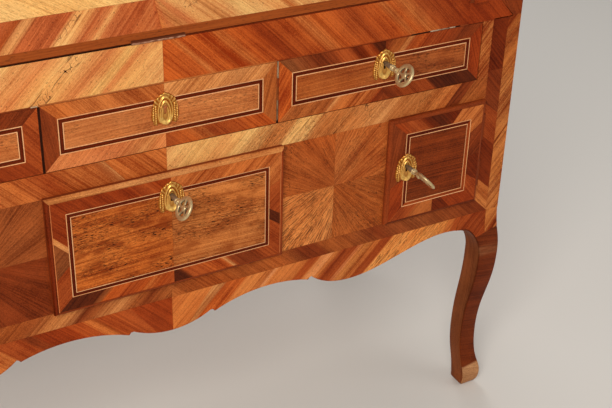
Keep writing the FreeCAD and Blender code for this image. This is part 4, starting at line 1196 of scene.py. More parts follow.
def rounded_rings(low, high, radius):
    """One rounded rectangle per height, counterclockwise from above. low and high are (n, 2)."""
    turn = np.linspace(0, math.pi / 2, CORNER_STEPS)
    rings = []
    for k, (sx, sy) in enumerate(((-1, -1), (1, -1), (1, 1), (-1, 1))):
        centre_x = np.where(sx < 0, low[:, 0] + radius, high[:, 0] - radius)
        centre_y = np.where(sy < 0, low[:, 1] + radius, high[:, 1] - radius)
        angle = math.pi + k * math.pi / 2 + turn
        x = centre_x[:, None] + radius[:, None] * np.cos(angle)
        y = centre_y[:, None] + radius[:, None] * np.sin(angle)
        rings.append(np.stack([x, y], -1))
    return np.concatenate(rings, 1)


def leg_heights():
    """Heights of the rings, closest together at the toe and under the post."""
    return np.unique(np.concatenate([
        np.linspace(0, TOE[1], 14), np.linspace(TOE[1], SPRING - 8, 80), np.linspace(SPRING - 8, SPRING, 12),
        np.linspace(SPRING + 0.05, BASE + 8, 10), [frieze_high[2]],
    ]))


def leg_points(z, side, end, post):
    """The points of a leg, one ring per height. Near the floor the heel is rounded off by
    r - sqrt(r^2 - (r - z)^2)."""
    outer = outer_at(z)
    under = np.clip(1 - z / HEEL_ROUND, 0, 1)
    rounding = HEEL_ROUND * (1 - np.sqrt(1 - under ** 2))
    inner = np.stack([np.interp(z, *leg_inner(width).T[::-1]) - rounding for width in post], 1)
    radius = np.interp(z, [0, 8, BASE - 20, BASE], [2.0, 3.2, 3.2, 0.3])
    recess = np.interp(z, [BASE + 1, BASE + 2], [0.0, POST_RECESS if end > 0 else 0.0])
    rings = rounded_rings(np.stack([outer, outer + recess], 1), inner, radius)
    x = side * (HALF - rings[..., 0])
    y = FRONT_Y + rings[..., 1] if end > 0 else BACK_Y - rings[..., 1]
    return np.stack([x, y, np.broadcast_to(z[:, None], x.shape)], -1)


def leg_corners(rows, columns, flip):
    """Row and column of the four corners of every quad between the rings. A mirrored leg is wound the other
    way round."""
    row, place = np.divmod(np.arange((rows - 1) * columns), columns)
    return row[:, None] + ([1, 1, 0, 0] if flip else [0, 0, 1, 1]), place[:, None] + [0, 1, 1, 0]


print("a leg has", len(leg_heights()), "rings of", 4 * CORNER_STEPS, "points")

# %% [markdown]
# ## Veneer on the legs
# The four faces of a leg are veneered one by one, in a darker wood than the case. Three kinds of mark show
# on them: the tip of the foot is rubbed bare, the knee is scuffed, and along the inner front corner a dark
# band is painted, for dirt and painted shade in that corner. The tones belong to the corners of the mesh, so
# they can change sharply between two faces.

# %% The leg's tones
SCUFF_AT, SCUFF_HEIGHT = 264.0, 7.0
CORNER_DIRT_AND_SHADE_WIDTH, CORNER_DIRT_AND_SHADE = 2.4, 0.5
TIP_SLANT, TIP_SOFT = 0.12, 2.5
LEG_FIGURE = (0.35, 0.4, 0.2)
LEG_FACES = {
    "front": ("sable", 10.0, 35.0, 1.0),
    "outer": ("umber", -10.0, 35.0, 1.0),
    "inner": ("dusky", 88.0, -20.0, 0.0),
    "back": ("dusky", 90.0, -20.0, 0.0),
}
ROUND_THE_RING = np.array([list(LEG_FACES).index(name) for name in ("front", "inner", "back", "outer")])


def hill(value, centre, width):
    """A bell curve that is 1 at its centre: exp(-((v - c) / w)^2)."""
    return np.exp(-((value - centre) / width) ** 2)


def leg_veneer(z, p, side, row, place):
    """Grain map, both tones and figure of every corner. p is the distance round each ring. The entries of
    LEG_FACES are a wood, a grain angle, the height of the bare tip and the share of the scuff."""
    which = ROUND_THE_RING[((place[:, 0] - HALF_CORNER) // CORNER_STEPS) % 4]
    woods, *numbers = zip(*LEG_FACES.values())
    grain, tip, scuffed = np.array(numbers)[:, which, None]
    across, height = p[row, place], z[row]
    strokes = rng.uniform(0.1, 0.5, p.shape)[row, place]
    turn = np.radians(side * grain)
    along = across * np.cos(turn) + height * np.sin(turn)
    over = height * np.cos(turn) - across * np.sin(turn)
    offsets = rng.uniform(0, 40, (len(woods), 2))[which]
    uv = np.stack([along, over], -1) * MM + offsets[:, None]
    own = np.clip((height - tip + TIP_SLANT * across) / TIP_SOFT, 0, 1)
    own = (own * (1 - scuffed * strokes * hill(height, SCUFF_AT, SCUFF_HEIGHT)))[..., None]
    # A dark band along the inner front corner: dirt and painted shade.
    corner_dirt_and_shade = CORNER_DIRT_AND_SHADE * hill(p, p[:, [CORNER_STEPS + HALF_CORNER]], CORNER_DIRT_AND_SHADE_WIDTH)
    corner_dirt_and_shade = corner_dirt_and_shade * np.interp(z, [60, 150, 300, 315], [0.2, 1, 1, 0])[:, None]
    kept = (1 - corner_dirt_and_shade)[row, place][..., None]
    tones = []
    for k in (0, 1):
        own_tone = np.array([linear(*WOODS[wood][k]) for wood in woods])[which][:, None]
        tones.append(kept * (own * own_tone + (1 - own) * linear(*WOODS["bare"][k])))
    return uv, *tones, np.broadcast_to(LEG_FIGURE, tones[0].shape)


print("leg faces:", *LEG_FACES)

# %% Four legs


def leg(node, side, end, post):
    """One leg with its post. side is -1 at the left, end is -1 at the back."""
    z = leg_heights()
    points = leg_points(z, side, end, post)
    rows, columns = points.shape[:2]
    flip = side * end > 0
    row, place = leg_corners(rows, columns, flip)
    step = np.linalg.norm(np.diff(points, axis=1, append=points[:, :1]), axis=-1)
    p = np.concatenate([np.zeros((rows, 1)), np.cumsum(step, 1)], 1)
    p -= p[:, [columns // 2]]
    values = []
    for value in leg_veneer(z, p, side, row, place):
        caps = np.repeat(value[:1, 0], 2 * columns, 0)
        values.append(np.concatenate([value.reshape(-1, value.shape[-1]), caps]))
    turn = 1 if flip else -1
    sole = np.arange(columns)[::turn]
    head = np.arange((rows - 1) * columns, rows * columns)[::-turn]
    faces = [*(row * columns + place % columns), sole, head]
    points = points.reshape(-1, 3) * MM
    piece = new_piece(f"{node}_shape", points, faces, "carcase", "veneered_wood", VENEER, True)
    dress(piece.data, *values, domain="CORNER")
    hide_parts(node)
    return piece


for side, word in ((-1, "left"), (1, "right")):
    leg(f"leg_front_{word}", side, 1, FRONT_POST)
    leg(f"leg_back_{word}", side, -1, BACK_POST)
print("four legs")

# %% [markdown]
# ## Knees
# The apron's last leaf and the pale edge of the stile run on over the front leg, down to its knee. They are
# fringes like the apron's leaves, but bent forward with the knee.

# %% Knee leaves
KNEE_EDGE = 2.6
EAR_END = HALF - 37
KNEE_FOOT = [(HALF - 36, 290.0), (HALF + 9, 302.0)]
PALE_END = HALF - 0.6
KNEE_SUNK = 0.4


def over_knee(grid):
    """A leaf lies as far out as the leg's outer outline."""
    return -outer_at(grid[..., 1])


ear_edge = ear(FRONT_POST[0])[::-1] * (-1, 1) + (HALF, KNEE_EDGE)
knee_edge = np.concatenate([ear_edge[ear_edge[:, 0] < EAR_END], KNEE_FOOT]).T
inner_leans, pale_leans = [(APRON_X, 0.35), (STILE_C, 0.0)], [(STILE_C, 0.0), (HALF, -0.06)]
knees = [
    fringe(knee_edge, BASE_LOW, APRON_X, STILE_C, inner_leans, 45, [(APRON_X, "rust")], 30),
    fringe(knee_edge, BASE_LOW, STILE_C, PALE_END, pale_leans, 50, [(STILE_C, "hatched")], 12),
]
lay("knee_veneer", "carcase", FRONT, knees + mirrored(knees), over_knee, KNEE_SUNK)

# %% [markdown]
# ## Sides, top, back and the inside of the lid
# These follow the front: a slanting border, stringing, and two leaves of one flitch opened like a book. The
# side is cut by the lid's slope, so its frame can't be a rectangle. It is a quadrilateral whose edges all
# move inwards by one width.

# %% Matched fields
FIELD_BAND = 34.0
FIELD_GRAINS = (45, -45, 45, -45)


def shrunk(corners, by):
    """A quadrilateral with every edge moved inwards. An edge holds n.p = c, with n pointing in, and becomes
    n.p = c + by. Each new corner lies on two of them."""
    p = np.array(corners, float)
    along = np.roll(p, -1, 0) - p
    along /= np.linalg.norm(along, axis=1, keepdims=True)
    inward = np.stack([-along[:, 1], along[:, 0]], 1)
    level = np.sum(inward * p, 1) + by
    return np.array([np.linalg.solve(inward[[k - 1, k]], level[[k - 1, k]]) for k in range(4)])


def mitred(outer, inner, woods, grains):
    """Four mitred leaves between two quadrilaterals."""
    return [
        leaf(patch([outer[k], outer[(k + 1) % 4], inner[(k + 1) % 4], inner[k]]), grains[k], woods[k])
        for k in range(4)
    ]


def matched_field(corners, woods, field, angle):
    """Border, stringing and two matched leaves inside a quadrilateral."""
    inner = shrunk(corners, FIELD_BAND)
    leaves = mitred(corners, inner, woods, FIELD_GRAINS)
    for string, width in zip(STRINGING, FRIEZE_STRING):
        smaller = shrunk(inner, width)
        edges = np.roll(inner, -1, 0) - inner
        leaves += mitred(inner, smaller, [string] * 4, np.degrees(np.arctan2(edges[:, 1], edges[:, 0])))
        inner = smaller
    a, b, c, d = inner
    foot, head = (a + b) / 2, (c + d) / 2
    leaves.append(leaf(patch([a, foot, head, d]), angle, field))
    leaves.append(leaf(patch([foot, b, c, head]), 180 - angle, field))
    return leaves


print("fields have a border of", FIELD_BAND, "mm")

# %% Side leaves
LID_THICK, LID_SEAT, JOINT_GAP = 20.0, 0.4, 0.8
MARGIN = 0.4


def slope_y(z):
    """Where the side meets the lid's inner face at a height."""
    rise = (z - LID_FOOT) * math.cos(LID_SLOPE)
    return FRONT_Y + (LID_THICK + LID_SEAT + rise) / math.sin(LID_SLOPE) + JOINT_GAP


side_edge = lower_edge("right_side_panel", 0, HALF, 1, BASE)
SIDE_FRONT, SIDE_BACK = side_edge[0][[0, -1]]
SIDE_LOW, SIDE_MID, SIDE_TOP = BASE + 7.0, frieze_high[2], top_low[2] - MARGIN
SHOULDER = SIDE_MID + 1.2
lower_side = rect_corners((SIDE_FRONT, SIDE_BACK, SIDE_LOW, SIDE_MID - 0.5))
upper_side = [
    (slope_y(SHOULDER), SHOULDER), (BACK_Y - MARGIN, SHOULDER),
    (BACK_Y - MARGIN, SIDE_TOP), (slope_y(SIDE_TOP), SIDE_TOP),
]
side_leaves = matched_field(lower_side, ("rust", "tawny", "amber", "rust"), "chestnut", 62)
side_leaves += matched_field(upper_side, ("tawny", "rust", "tawny", "amber"), "chestnut", 58)
bays = np.linspace(SIDE_FRONT, SIDE_BACK, 5)
side_leans = list(zip(bays, (0.0, -0.3, 0.0, 0.3, 0.0)))
bay_woods = (("rust", -45), ("tawny", -45), ("amber", 45), ("tawny", 45))
for start, end, (wood, grain) in zip(bays, bays[1:], bay_woods):
    side_leaves.append(fringe(side_edge, SIDE_LOW, start, end, side_leans, grain, [(start, wood)], 24))
lay("right_side_veneer", "carcase", RIGHT_SIDE, side_leaves)
lay("left_side_veneer", "carcase", LEFT_SIDE, mirrored(side_leaves))

# %% Edges of the lid
EDGE_MARGIN = 0.6
lid_up, lid_in = np.array(LID_UP[1:]), -LID.out[1:]
edge_rect = (EDGE_MARGIN, LID_LENGTH - EDGE_MARGIN, JOINT_GAP, LID_THICK - JOINT_GAP)
lid_end = [LID.origin[1:] + t * lid_up + d * lid_in for t, d in rect_corners(edge_rect)]
edge_leaf = [leaf(patch(lid_end), math.degrees(LID_SLOPE), "amber")]
lay("lid_right_edge", "lid", RIGHT_SIDE, edge_leaf)
lay("lid_left_edge", "lid", LEFT_SIDE, mirrored(edge_leaf))

# %% Top, and the inside of the lid
top_points = node_points("top_board")
top_front = top_points[top_points[:, 2] > top_high[2] - TOUCH, 1].min() + MARGIN
top_corners = rect_corners((-HALF + MARGIN, HALF - MARGIN, top_front, BACK_Y - MARGIN))
lay("top_veneer", "carcase", TOP, matched_field(top_corners, ("tan", "amber", "tan", "amber"), "straw", 38))

INSIDE = face(LID.origin - LID_THICK * LID.out, (-1, 0, 0), LID_UP)
inside_corners = rect_corners((-500.0, 500.0, 36.0, LID_LENGTH - 30.0))
lay("lid_inside_veneer", "lid", INSIDE, matched_field(inside_corners, ("rust",) * 4, "chestnut", 30))

# %% [markdown]
# ## Back boards and loper caps
# The back stands against a wall, so it is seven plain upright planks. The end of each loper is veneered from
# the same flitch as the frieze around it, so it vanishes when it is pushed in: both are given one seed.

# %% Back and loper leaves
BACK = face((0, BACK_Y, 0), (-1, 0, 0), (0, 0, 1))
PLANKS = 7
PLANK_X, STRIP_X = 484.0, (484.6, 510.0)
edges = np.linspace(-PLANK_X, PLANK_X, PLANKS + 1)
planks = [sheet_of((a, b, BASE + 0.5, SIDE_TOP), 90, "backboard") for a, b in zip(edges, edges[1:])]
strip = [sheet_of((*STRIP_X, SIDE_MID + 0.5, SIDE_TOP), 90, "backboard")]
lay("back_boards", "carcase", BACK, planks + strip + mirrored(strip))

cap_face = front_face(loper_low[1])
cap_rect = inset(front_rect("right_loper"), 0.3)
for word, (wood, seed) in LOPER_WOODS.items():
    cap = [sheet_of(cap_rect, -45, wood, seed, SOFT_JOINT)]
    lay(f"{word}_loper_cap", f"{word}_lid_loper", cap_face, cap if word == "right" else mirrored(cap))

# %% [markdown]
# ## Gilt escutcheons
# The plates are cast brass: a shell-topped cartouche with an oval dish inside raised rings, a fan of small
# beads above, ruffled sides and two points below. The relief could be sculpted. Here the plate is one height
# map over a fan of rays that start on the keyhole and end on the outline, so the hole stays open.

# %% Gilt brass


def brass_finish():
    """Gilding in two golds that change with the wear, and a brown gold in the hollows."""
    metal = Finish("gilt_brass_cast")
    worn = metal.noise(metal.place(), 420, 420, 3.0)
    colour = metal.mix(worn, rgba(216, 150, 54), rgba(253, 212, 126))
    colour = metal.mix(metal.attribute("hollow", 2), colour, rgba(168, 94, 18))
    metal.bump(worn, 0.15, 0.0002)
    return metal.finish(Base_Color=colour, Metallic=0.8, Roughness=metal.between(worn, 0.32, 0.46))


def hollow_finish(name, low, high):
    """What shows through a keyhole: painted shade in the dark ones, wood in the centre drawer's."""
    shade = Finish(name)
    mottle = shade.noise(shade.place(), 500, 500)
    colour = shade.mix(mottle, rgba(*low), rgba(*high))
    return shade.finish(Base_Color=colour, Roughness=shade.between(mottle, 0.7, 0.9), Specular_IOR_Level=0.05)


BRASS = brass_finish()
# A dark plug is painted shade inside the keyhole; the wood plug is the wood seen through the centre plate.
KEYHOLES = {
    "dark": ("lock_steel", hollow_finish("keyhole_painted_shade", (14, 8, 5), (30, 17, 10))),
    "wood": ("carcase_wood", hollow_finish("keyhole_wood", (128, 70, 34), (196, 122, 72))),
}
print("keyholes:", *KEYHOLES)

# %% Outlines of the plate and its keyhole
RAYS = 144
theta = np.arange(RAYS) * 2 * math.pi / RAYS
HOLE_UP, HOLE_R, SLOT_HALF, SLOT_DOWN = 4.0, 3.0, 1.5, 4.4
SLOT_UP = 6.0
OVAL = (12.6, 16.6)
EDGE_SHARE = np.array([
    (-90, 1.10), (-72, 1.12), (-61, 1.18), (-56, 1.42), (-51, 1.60), (-43, 1.50), (-27, 1.50), (-12, 1.42),
    (0, 1.36), (20, 1.32), (35, 1.30), (50, 1.38), (60, 1.31), (75, 1.33), (90, 1.40),
])


def keyhole_outline(angle):
    """Distance of the keyhole's edge from the plate's middle: the farther of the round hole and the slot."""
    across, up = np.abs(np.cos(angle)), np.sin(angle)
    inside = np.maximum(HOLE_R ** 2 - (HOLE_UP * across) ** 2, 0)
    round_hole = np.where((up > 0) & (HOLE_UP * across < HOLE_R), HOLE_UP * up + np.sqrt(inside), 0)
    slot_end = np.where(up < 0, SLOT_DOWN / np.maximum(-up, 1e-6), SLOT_UP)
    slot = np.minimum(SLOT_HALF / np.maximum(across, 1e-6), slot_end)
    return np.maximum(round_hole, np.minimum(slot, SLOT_UP))


def cartouche_outline(angle):
    """Distance of the outline from the plate's middle: an oval times a share that depends on the angle."""
    oval = OVAL[0] * OVAL[1] / np.hypot(OVAL[1] * np.cos(angle), OVAL[0] * np.sin(angle))
    upward = np.degrees(np.arcsin(np.sin(angle)))
    return oval * np.interp(upward, *EDGE_SHARE.T) + 0.35 * np.cos(24 * angle)


print("a plate is", round(2 * np.max(cartouche_outline(theta) * np.cos(theta)), 1), "mm wide")

# %% Relief of the plate
RINGS = ((9.2, 17.4, -0.2, 2.1), (6.6, 13.8, -2.6, 1.7), (4.4, 10.2, -4.0, 1.1))
RING_WIDTH, NARROWING = 0.85, 0.16


def around(angle, centre, width):
    """A hill on a circle, in degrees."""
    return hill((np.degrees(angle) - centre + 180) % 360 - 180, 0, width)


def egg(x, z, width, height, middle):
    """1 on an oval that narrows towards its top, less inside it."""
    rise = (z - middle) / height
    return np.hypot(x / (width * (1 - NARROWING * rise)), rise)


def cartouche_height(x, z, angle, share):
    """Height of the casting, in mm: a boss inside three egg shaped rings, strands down both sides and a
    fluted crown with beads."""
    ovals = [egg(x, z, *ring[:3]) for ring in RINGS]
    rings = sum(ring[3] * hill(oval, 1.0, RING_WIDTH / ring[0]) for oval, ring in zip(ovals, RINGS))
    boss = 0.7 * np.clip(1 - ovals[2] ** 2, 0, 1)
    outside = np.clip((ovals[0] - 1.10) / 0.12, 0, 1)
    beside = outside * np.clip((10 - z) / 4, 0, 1)
    feather = 0.7 + 0.5 * np.cos(2.1 * z + 0.9 * np.abs(x))
    strands = beside * feather * (1.6 * hill(np.abs(x), 12.2, 0.8) + 1.5 * hill(np.abs(x), 15.4, 0.8))
    flutes = outside * (0.4 + 0.4 * np.cos(24 * angle)) * np.clip((z - 4) / 5, 0.25, 1)
    lobes = np.abs(np.sin(np.degrees(angle) * math.pi / 18))
    beads = 1.4 * hill(share, 0.90, 0.06) * around(angle, 90, 40) * lobes ** 2
    return (0.7 + rings + boss + strands + flutes + beads) * np.clip((1 - share) * 10 + 0.4, 0, 1)


print("the relief has", len(RINGS), "rings")

# %% Seven plates
CAST_ROWS = 46
UNDER_PLATE = -0.3
HOLLOW_BELOW = 1.9
PLUG_WIDER, PLUG_TOP, PLUG_FOOT = 1.04, 0.15, -0.35


def on_face(on, x, z, lift):
    """Points in metres on a face, from places along and up it and heights above it."""
    parts = x[..., None] * on.along + z[..., None] * on.up + lift[..., None] * on.out
    return (parts + on.origin).reshape(-1, 3) * MM


def casting(node, body, on, at_x, at_z):
    """The relief on rays from the keyhole to the outline, closed by three rows underneath."""
    share = np.concatenate([np.linspace(0, 1, CAST_ROWS), [1.0, 0.5, 0.0]])[:, None]
    inside, outside = keyhole_outline(theta), cartouche_outline(theta)
    r = inside + share * (outside - inside)
    x, z = r * np.cos(theta), r * np.sin(theta)
    height = cartouche_height(x, z, theta, share)
    height[CAST_ROWS:] = UNDER_PLATE
    points = on_face(on, at_x + x, at_z + z, height + LEAF_THICK)
    grid = np.arange(height.size).reshape(height.shape)
    down, beside = np.roll(grid, -1, 0), np.roll(grid, -1, 1)
    quads = np.stack([grid, down, np.roll(down, -1, 1), beside], -1).reshape(-1, 4)
    piece = new_piece(f"{node}_casting", points, quads, body, "gilt_brass", BRASS, True)
    set_data(piece.data, "hollow", "FLOAT", np.clip(HOLLOW_BELOW - height, 0, 1))
    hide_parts(node)


def keyhole_plug(node, body, on, at_x, at_z, hole):
    """A flat plug behind the keyhole, a little wider than it."""
    r = PLUG_WIDER * keyhole_outline(theta)
    x, z = r * np.cos(theta), r * np.sin(theta)
    lifts = [np.full(RAYS, LEAF_THICK + height) for height in (PLUG_TOP, PLUG_FOOT)]
    points = np.concatenate([on_face(on, at_x + x, at_z + z, lift) for lift in lifts])
    ring = np.arange(RAYS)
    after = np.roll(ring, -1)
    walls = np.stack([ring, ring + RAYS, after + RAYS, after], -1)
    new_piece(f"{node}_keyhole", points, [ring, ring[::-1] + RAYS, *walls], body, *KEYHOLES[hole])


def escutcheon(node, body, on, hole="dark"):
    """The casting on a face, over the middle of its CAD plate, and what shows through its keyhole."""
    middle = np.mean(box_mm(node), 0) - on.origin
    place = (node, body, on, middle @ on.along, middle @ on.up)
    casting(*place)
    keyhole_plug(*place, hole)


for word, hole in (("left", "dark"), ("centre", "wood"), ("right", "dark")):
    escutcheon(f"{word}_frieze_drawer_escutcheon", f"{word}_frieze_drawer", FRONT, hole)
for word in ("left", "right"):
    escutcheon(f"{word}_door_escutcheon", f"{word}_cupboard_door", DOOR)
escutcheon("lower_drawer_escutcheon", "lower_drawer", LIP)
escutcheon("lid_escutcheon", "lid", LID)
print("seven plates of", (CAST_ROWS + 3) * RAYS, "points")

# %% [markdown]
# ## Keys
# Each key is a turned shaft with a dark sleeve and bead collars, and a round bow: a heavy ring with five bars
# that meet at a small hub. Shaft and collars are one profile turned about the shaft, and the bars are tubes
# that swell at both ends. A boolean union would merge them, but they only need to overlap.

# %% Worn steel


def steel_finish(name, low, high, rough, metallic=1.0, shine=0.5):
    """Steel in two tones that change with the wear, with painted brown shade where the mesh asks for it."""
    metal = Finish(name)
    worn = metal.noise(metal.place(), 260, 260, 3.0)
    colour = metal.mix(worn, rgba(*low), rgba(*high))
    colour = metal.mix(metal.attribute("grime", 2), colour, rgba(46, 30, 16))
    metal.bump(worn, 0.3, 0.0003)
    rough = metal.between(worn, rough, rough + 0.2)
    return metal.finish(Base_Color=colour, Metallic=metallic, Roughness=rough, Specular_IOR_Level=shine)


KEY_METAL = steel_finish("worn_key_metal", (168, 138, 92), (230, 206, 156), 0.26, 0.62)
SLEEVE_STEEL = steel_finish("dark_sleeve_steel", (104, 88, 72), (162, 146, 124), 0.28, 0.6)
LOCK_STEEL = steel_finish("old_lock_steel", (96, 92, 86), (138, 132, 124), 0.34)
print("steels:", KEY_METAL.name, SLEEVE_STEEL.name, LOCK_STEEL.name)

# %% Tubes
GUIDE, UPRIGHT_GUIDE = np.array([0.31, 0.17, 0.93]), np.array([1.0, 0.2, 0.1])


def tube(path, radius, count=12, closed=False):
    """Points and faces of a tube along a path: P + r (u cos a + v sin a), with u and v square to the path.
    radius is one number or one per point."""
    path = np.asarray(path, float)
    ahead = np.roll(path, -1, 0) - np.roll(path, 1, 0) if closed else np.gradient(path, axis=0)
    ahead /= np.linalg.norm(ahead, axis=1, keepdims=True)
    u = np.cross(ahead, GUIDE if abs(ahead[:, 2]).mean() < 0.8 else UPRIGHT_GUIDE)
    u /= np.linalg.norm(u, axis=1, keepdims=True)
    v = np.cross(ahead, u)
    angle = np.arange(count) * 2 * math.pi / count
    ring = np.cos(angle)[None, :, None] * u[:, None] + np.sin(angle)[None, :, None] * v[:, None]
    points = path[:, None] + np.reshape(np.broadcast_to(radius, len(path)), (-1, 1, 1)) * ring
    grid = np.arange(len(path) * count).reshape(-1, count)
    rows = np.concatenate([grid, grid[:1]]) if closed else grid
    beside = np.roll(rows, -1, 1)
    quads = np.stack([rows[:-1], beside[:-1], beside[1:], rows[1:]], -1).reshape(-1, 4)
    ends = [] if closed else [grid[0, ::-1], grid[-1]]
    return points.reshape(-1, 3), [*quads, *ends]


def joined(parts):
    """Several closed surfaces as one set of points and faces."""
    starts = np.cumsum([0] + [len(points) for points, _ in parts])
    faces = [np.add(corners, start) for start, (_, surface) in zip(starts, parts) for corners in surface]
    return np.concatenate([points for points, _ in parts]), faces


print("a short tube has", len(tube([(0, 0, 0), (0, 0, 1)], 1.0)[1]), "faces")

# %% Shaft and bow
OUTWARD = np.array([0.0, -1.0, 0.0])
SHAFT = 2.4
LOCK_BEADS = ((16.4, 2.0, 1.6), (19.6, 1.6, 1.4))
BOW_BEADS = ((3.6, 1.4, 1.4), (0.8, 1.9, 1.6))
SLEEVE = np.array([(-6.0, 2.8), (2.0, 2.8), (3.0, 3.4), (13.2, 3.4), (14.2, 3.0), (14.8, 2.4)])
KEY_BOW, BOW_RING, BOW_WIRE = 16.0, 12.8, 3.0
BOW_FLAT = 0.75
BARS = 5


def collar(s, centre, height, width):
    """The extra radius of a bead on a turned shaft: h sqrt(1 - ((s - c) / w)^2)."""
    return height * np.sqrt(np.clip(1 - ((s - centre) / width) ** 2, 0, 1))


def shaft_tube(start, inner, reach):
    """The shaft from its end in the lock to the bow. Beads are (place, height, width), and those at the bow
    are placed back from the shaft's outer end."""
    s = np.linspace(inner, reach, 220)
    beads = [*LOCK_BEADS, *((reach - place, height, width) for place, height, width in BOW_BEADS)]
    radius = SHAFT + np.max([collar(s, *bead) for bead in beads], 0)
    return tube(start + s[:, None] * OUTWARD, radius, 20)


def bow_tubes(centre, up):
    """The ring, the curved bars and the hub of a bow that lies in the plane of the shaft and up. They are
    pressed flatter across that plane."""
    across = np.cross(OUTWARD, up)
    angle = np.linspace(0, 2 * math.pi, 64, endpoint=False)[:, None]
    tubes = [tube(centre + BOW_RING * (np.cos(angle) * OUTWARD + np.sin(angle) * up), BOW_WIRE, 18, True)]
    t = np.linspace(0, 1, 14)[:, None]
    for k in range(BARS):
        angle = math.pi / BARS * (1 + 2 * k) + 0.35 * (t - 1) ** 2
        bar = centre + (0.8 + 11.4 * t) * (np.cos(angle) * OUTWARD + np.sin(angle) * up)
        tubes.append(tube(bar, 1.9 + 1.4 * (2 * t[:, 0] - 1) ** 2, 14))
    h = np.linspace(-0.9, 0.9, 9)
    tubes.append(tube(centre + 3.8 * h[:, None] * across, 4.8 * np.sqrt(1 - h ** 2), 16))
    pressed = []
    for points, faces in tubes:
        off = (points - centre) @ across
        pressed.append((points - (1 - BOW_FLAT) * off[:, None] * across, faces))
    return pressed


print("the bow has", BARS, "bars")

# %% Three keys
PLATE_THICK, BOW_OVERLAP = 2.0, 2.0
SHADE_REACH = 12.0
BIT_BACK, BIT_LENGTH, BIT_DOWN, BIT_R = 8.0, 6.0, 4.4, 2.4


def bow_painted_shade(points, centre, across):
    """Painted shade on the inner walls of the bow's openings: 1.15 - |off| / 1.3, where off is the distance from
    the bow's plane.
    """
    away = points - centre
    off = away @ across
    inside = np.linalg.norm(away - off[:, None] * across, axis=1) < SHADE_REACH
    return np.clip(1.15 - np.abs(off) / 1.3, 0, 1) * inside


def key(node, plate_y, tilt):
    """A key on its CAD shaft's line: the turned shaft, the bow at the outer end, the bit and the sleeve. The
    bow is turned by tilt from upright."""
    low, high = box_mm(node)
    joint = next(joint for joint in frame["joints"] if joint["name"] == f"{node}_turn")
    x, _, z = np.array(joint["pos_m"]) / MM
    start, centre = np.array([x, plate_y, z]), np.array([x, low[1] + KEY_BOW, z])
    up = np.array([math.sin(tilt), 0, math.cos(tilt)])
    reach = plate_y - centre[1] - KEY_BOW + BOW_OVERLAP
    bit = high[1] - BIT_BACK
    parts = [shaft_tube(start, plate_y - high[1], reach), *bow_tubes(centre, up)]
    parts.append(tube([(x, bit, z - BIT_DOWN), (x, bit + BIT_LENGTH, z - BIT_DOWN)], BIT_R, 4))
    points, faces = joined(parts)
    body = f"{node}_body"
    piece = new_piece(f"{node}_turned", points * MM, faces, body, "key_steel", KEY_METAL, True)
    set_data(piece.data, "grime", "FLOAT", bow_painted_shade(points, centre, np.cross(OUTWARD, up)))
    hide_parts(node)
    points, faces = tube(start + SLEEVE[:, :1] * OUTWARD, SLEEVE[:, 1], 22)
    new_piece(f"{node}_sleeve", points * MM, faces, body, "key_steel", SLEEVE_STEEL, True)


key("right_frieze_drawer_key", FRONT_Y - PLATE_THICK, math.radians(32))
key("lower_drawer_key", LIP_Y - PLATE_THICK, math.radians(32))
key("right_door_key", DOOR_Y - PLATE_THICK, math.radians(-41))
print("three keys")

# %% [markdown]
# ## Plain wood and steel on the CAD pieces
# Pieces that carry no veneer keep their CAD shape. They have no UV map, so their grain is drawn on object
# coordinates and runs along their longest side, as a joiner would cut them.

# %% Finishes of the CAD pieces
# The height above which the lid hinge is painted with shadow, and how softly the shadow starts.
HINGE_SHADOW_LINE, SHADOW_SOFT = 0.6906, 0.8 * MM


def plain_wood(name, axis, dark, light):
    """Solid wood on object coordinates, with the grain along one axis."""
    wood = Finish(f"{name}_{'xyz'[axis]}")
    split = wood.node("SeparateXYZ", 0, {0: wood.place()}).node.outputs
    grain = wood.node("CombineXYZ", 0, {k: split[(axis + k) % 3] for k in range(3)})
    along, bands, lines, grit = grain_marks(wood, grain)
    pores = pore_marks(wood, along)
    depth = wood.plus(wood.times(bands, 0.45), wood.times(lines, 0.55))
    colour = wood.mix(depth, rgba(*dark), rgba(*light))
    colour = wood.mix(wood.times(pores, 0.35), colour, GRIME)
    wood.bump(wood.minus(wood.times(lines, 0.4), pores), 0.3, 0.0004)
    return wood.finish(Base_Color=colour, Roughness=wood.between(grit, 0.44, 0.56), Specular_IOR_Level=0.08)


def hinge_finish():
    """Rusty steel, with painted shadow above the line where the knuckles touch the lid."""
    metal = Finish("worn_lid_hinge_steel")
    place = metal.place()
    worn = metal.marks(place, 160, 300, 0.3, 0.7, 3.0)
    height = metal.node("SeparateXYZ", 2, {0: place})
    painted_shadow = metal.ramp(height, HINGE_SHADOW_LINE, HINGE_SHADOW_LINE + SHADOW_SOFT)
    colour = metal.mix(worn, rgba(112, 62, 38), rgba(196, 146, 116))
    colour = metal.mix(painted_shadow, colour, rgba(92, 42, 20))
    rough = metal.between(worn, 0.45, 0.6)
    return metal.finish(Base_Color=colour, Metallic=0.2, Roughness=rough, Specular_IOR_Level=0.15)


PLAIN = [plain_wood("waxed_carcase_wood", axis, (128, 84, 48), (172, 124, 78)) for axis in range(3)]
GROUND = [plain_wood("reddish_ground_wood", axis, (104, 40, 16), (146, 66, 28)) for axis in range(3)]
NOSING = plain_wood("red_nosing_wood", 0, (118, 48, 14), (168, 84, 32))
LID_HINGE_STEEL = hinge_finish()
DOOR_HINGE_STEEL = steel_finish("browned_door_hinge_steel", (112, 46, 20), (146, 66, 32), 0.7, 0.0, 0.05)
LID_HINGES = ("lid_hinge_lower_leaves", "lid_hinge_upper_leaves", "hinge_pins")
DOOR_HINGES = ("door_hinge_post_leaves", "left_door_hinge_leaves", "right_door_hinge_leaves")
HINGES = dict.fromkeys(LID_HINGES, LID_HINGE_STEEL) | dict.fromkeys(DOOR_HINGES, DOOR_HINGE_STEEL)
slot_of = {part["node"]: part["material_slot"] for part in frame["record"]["subparts"]}
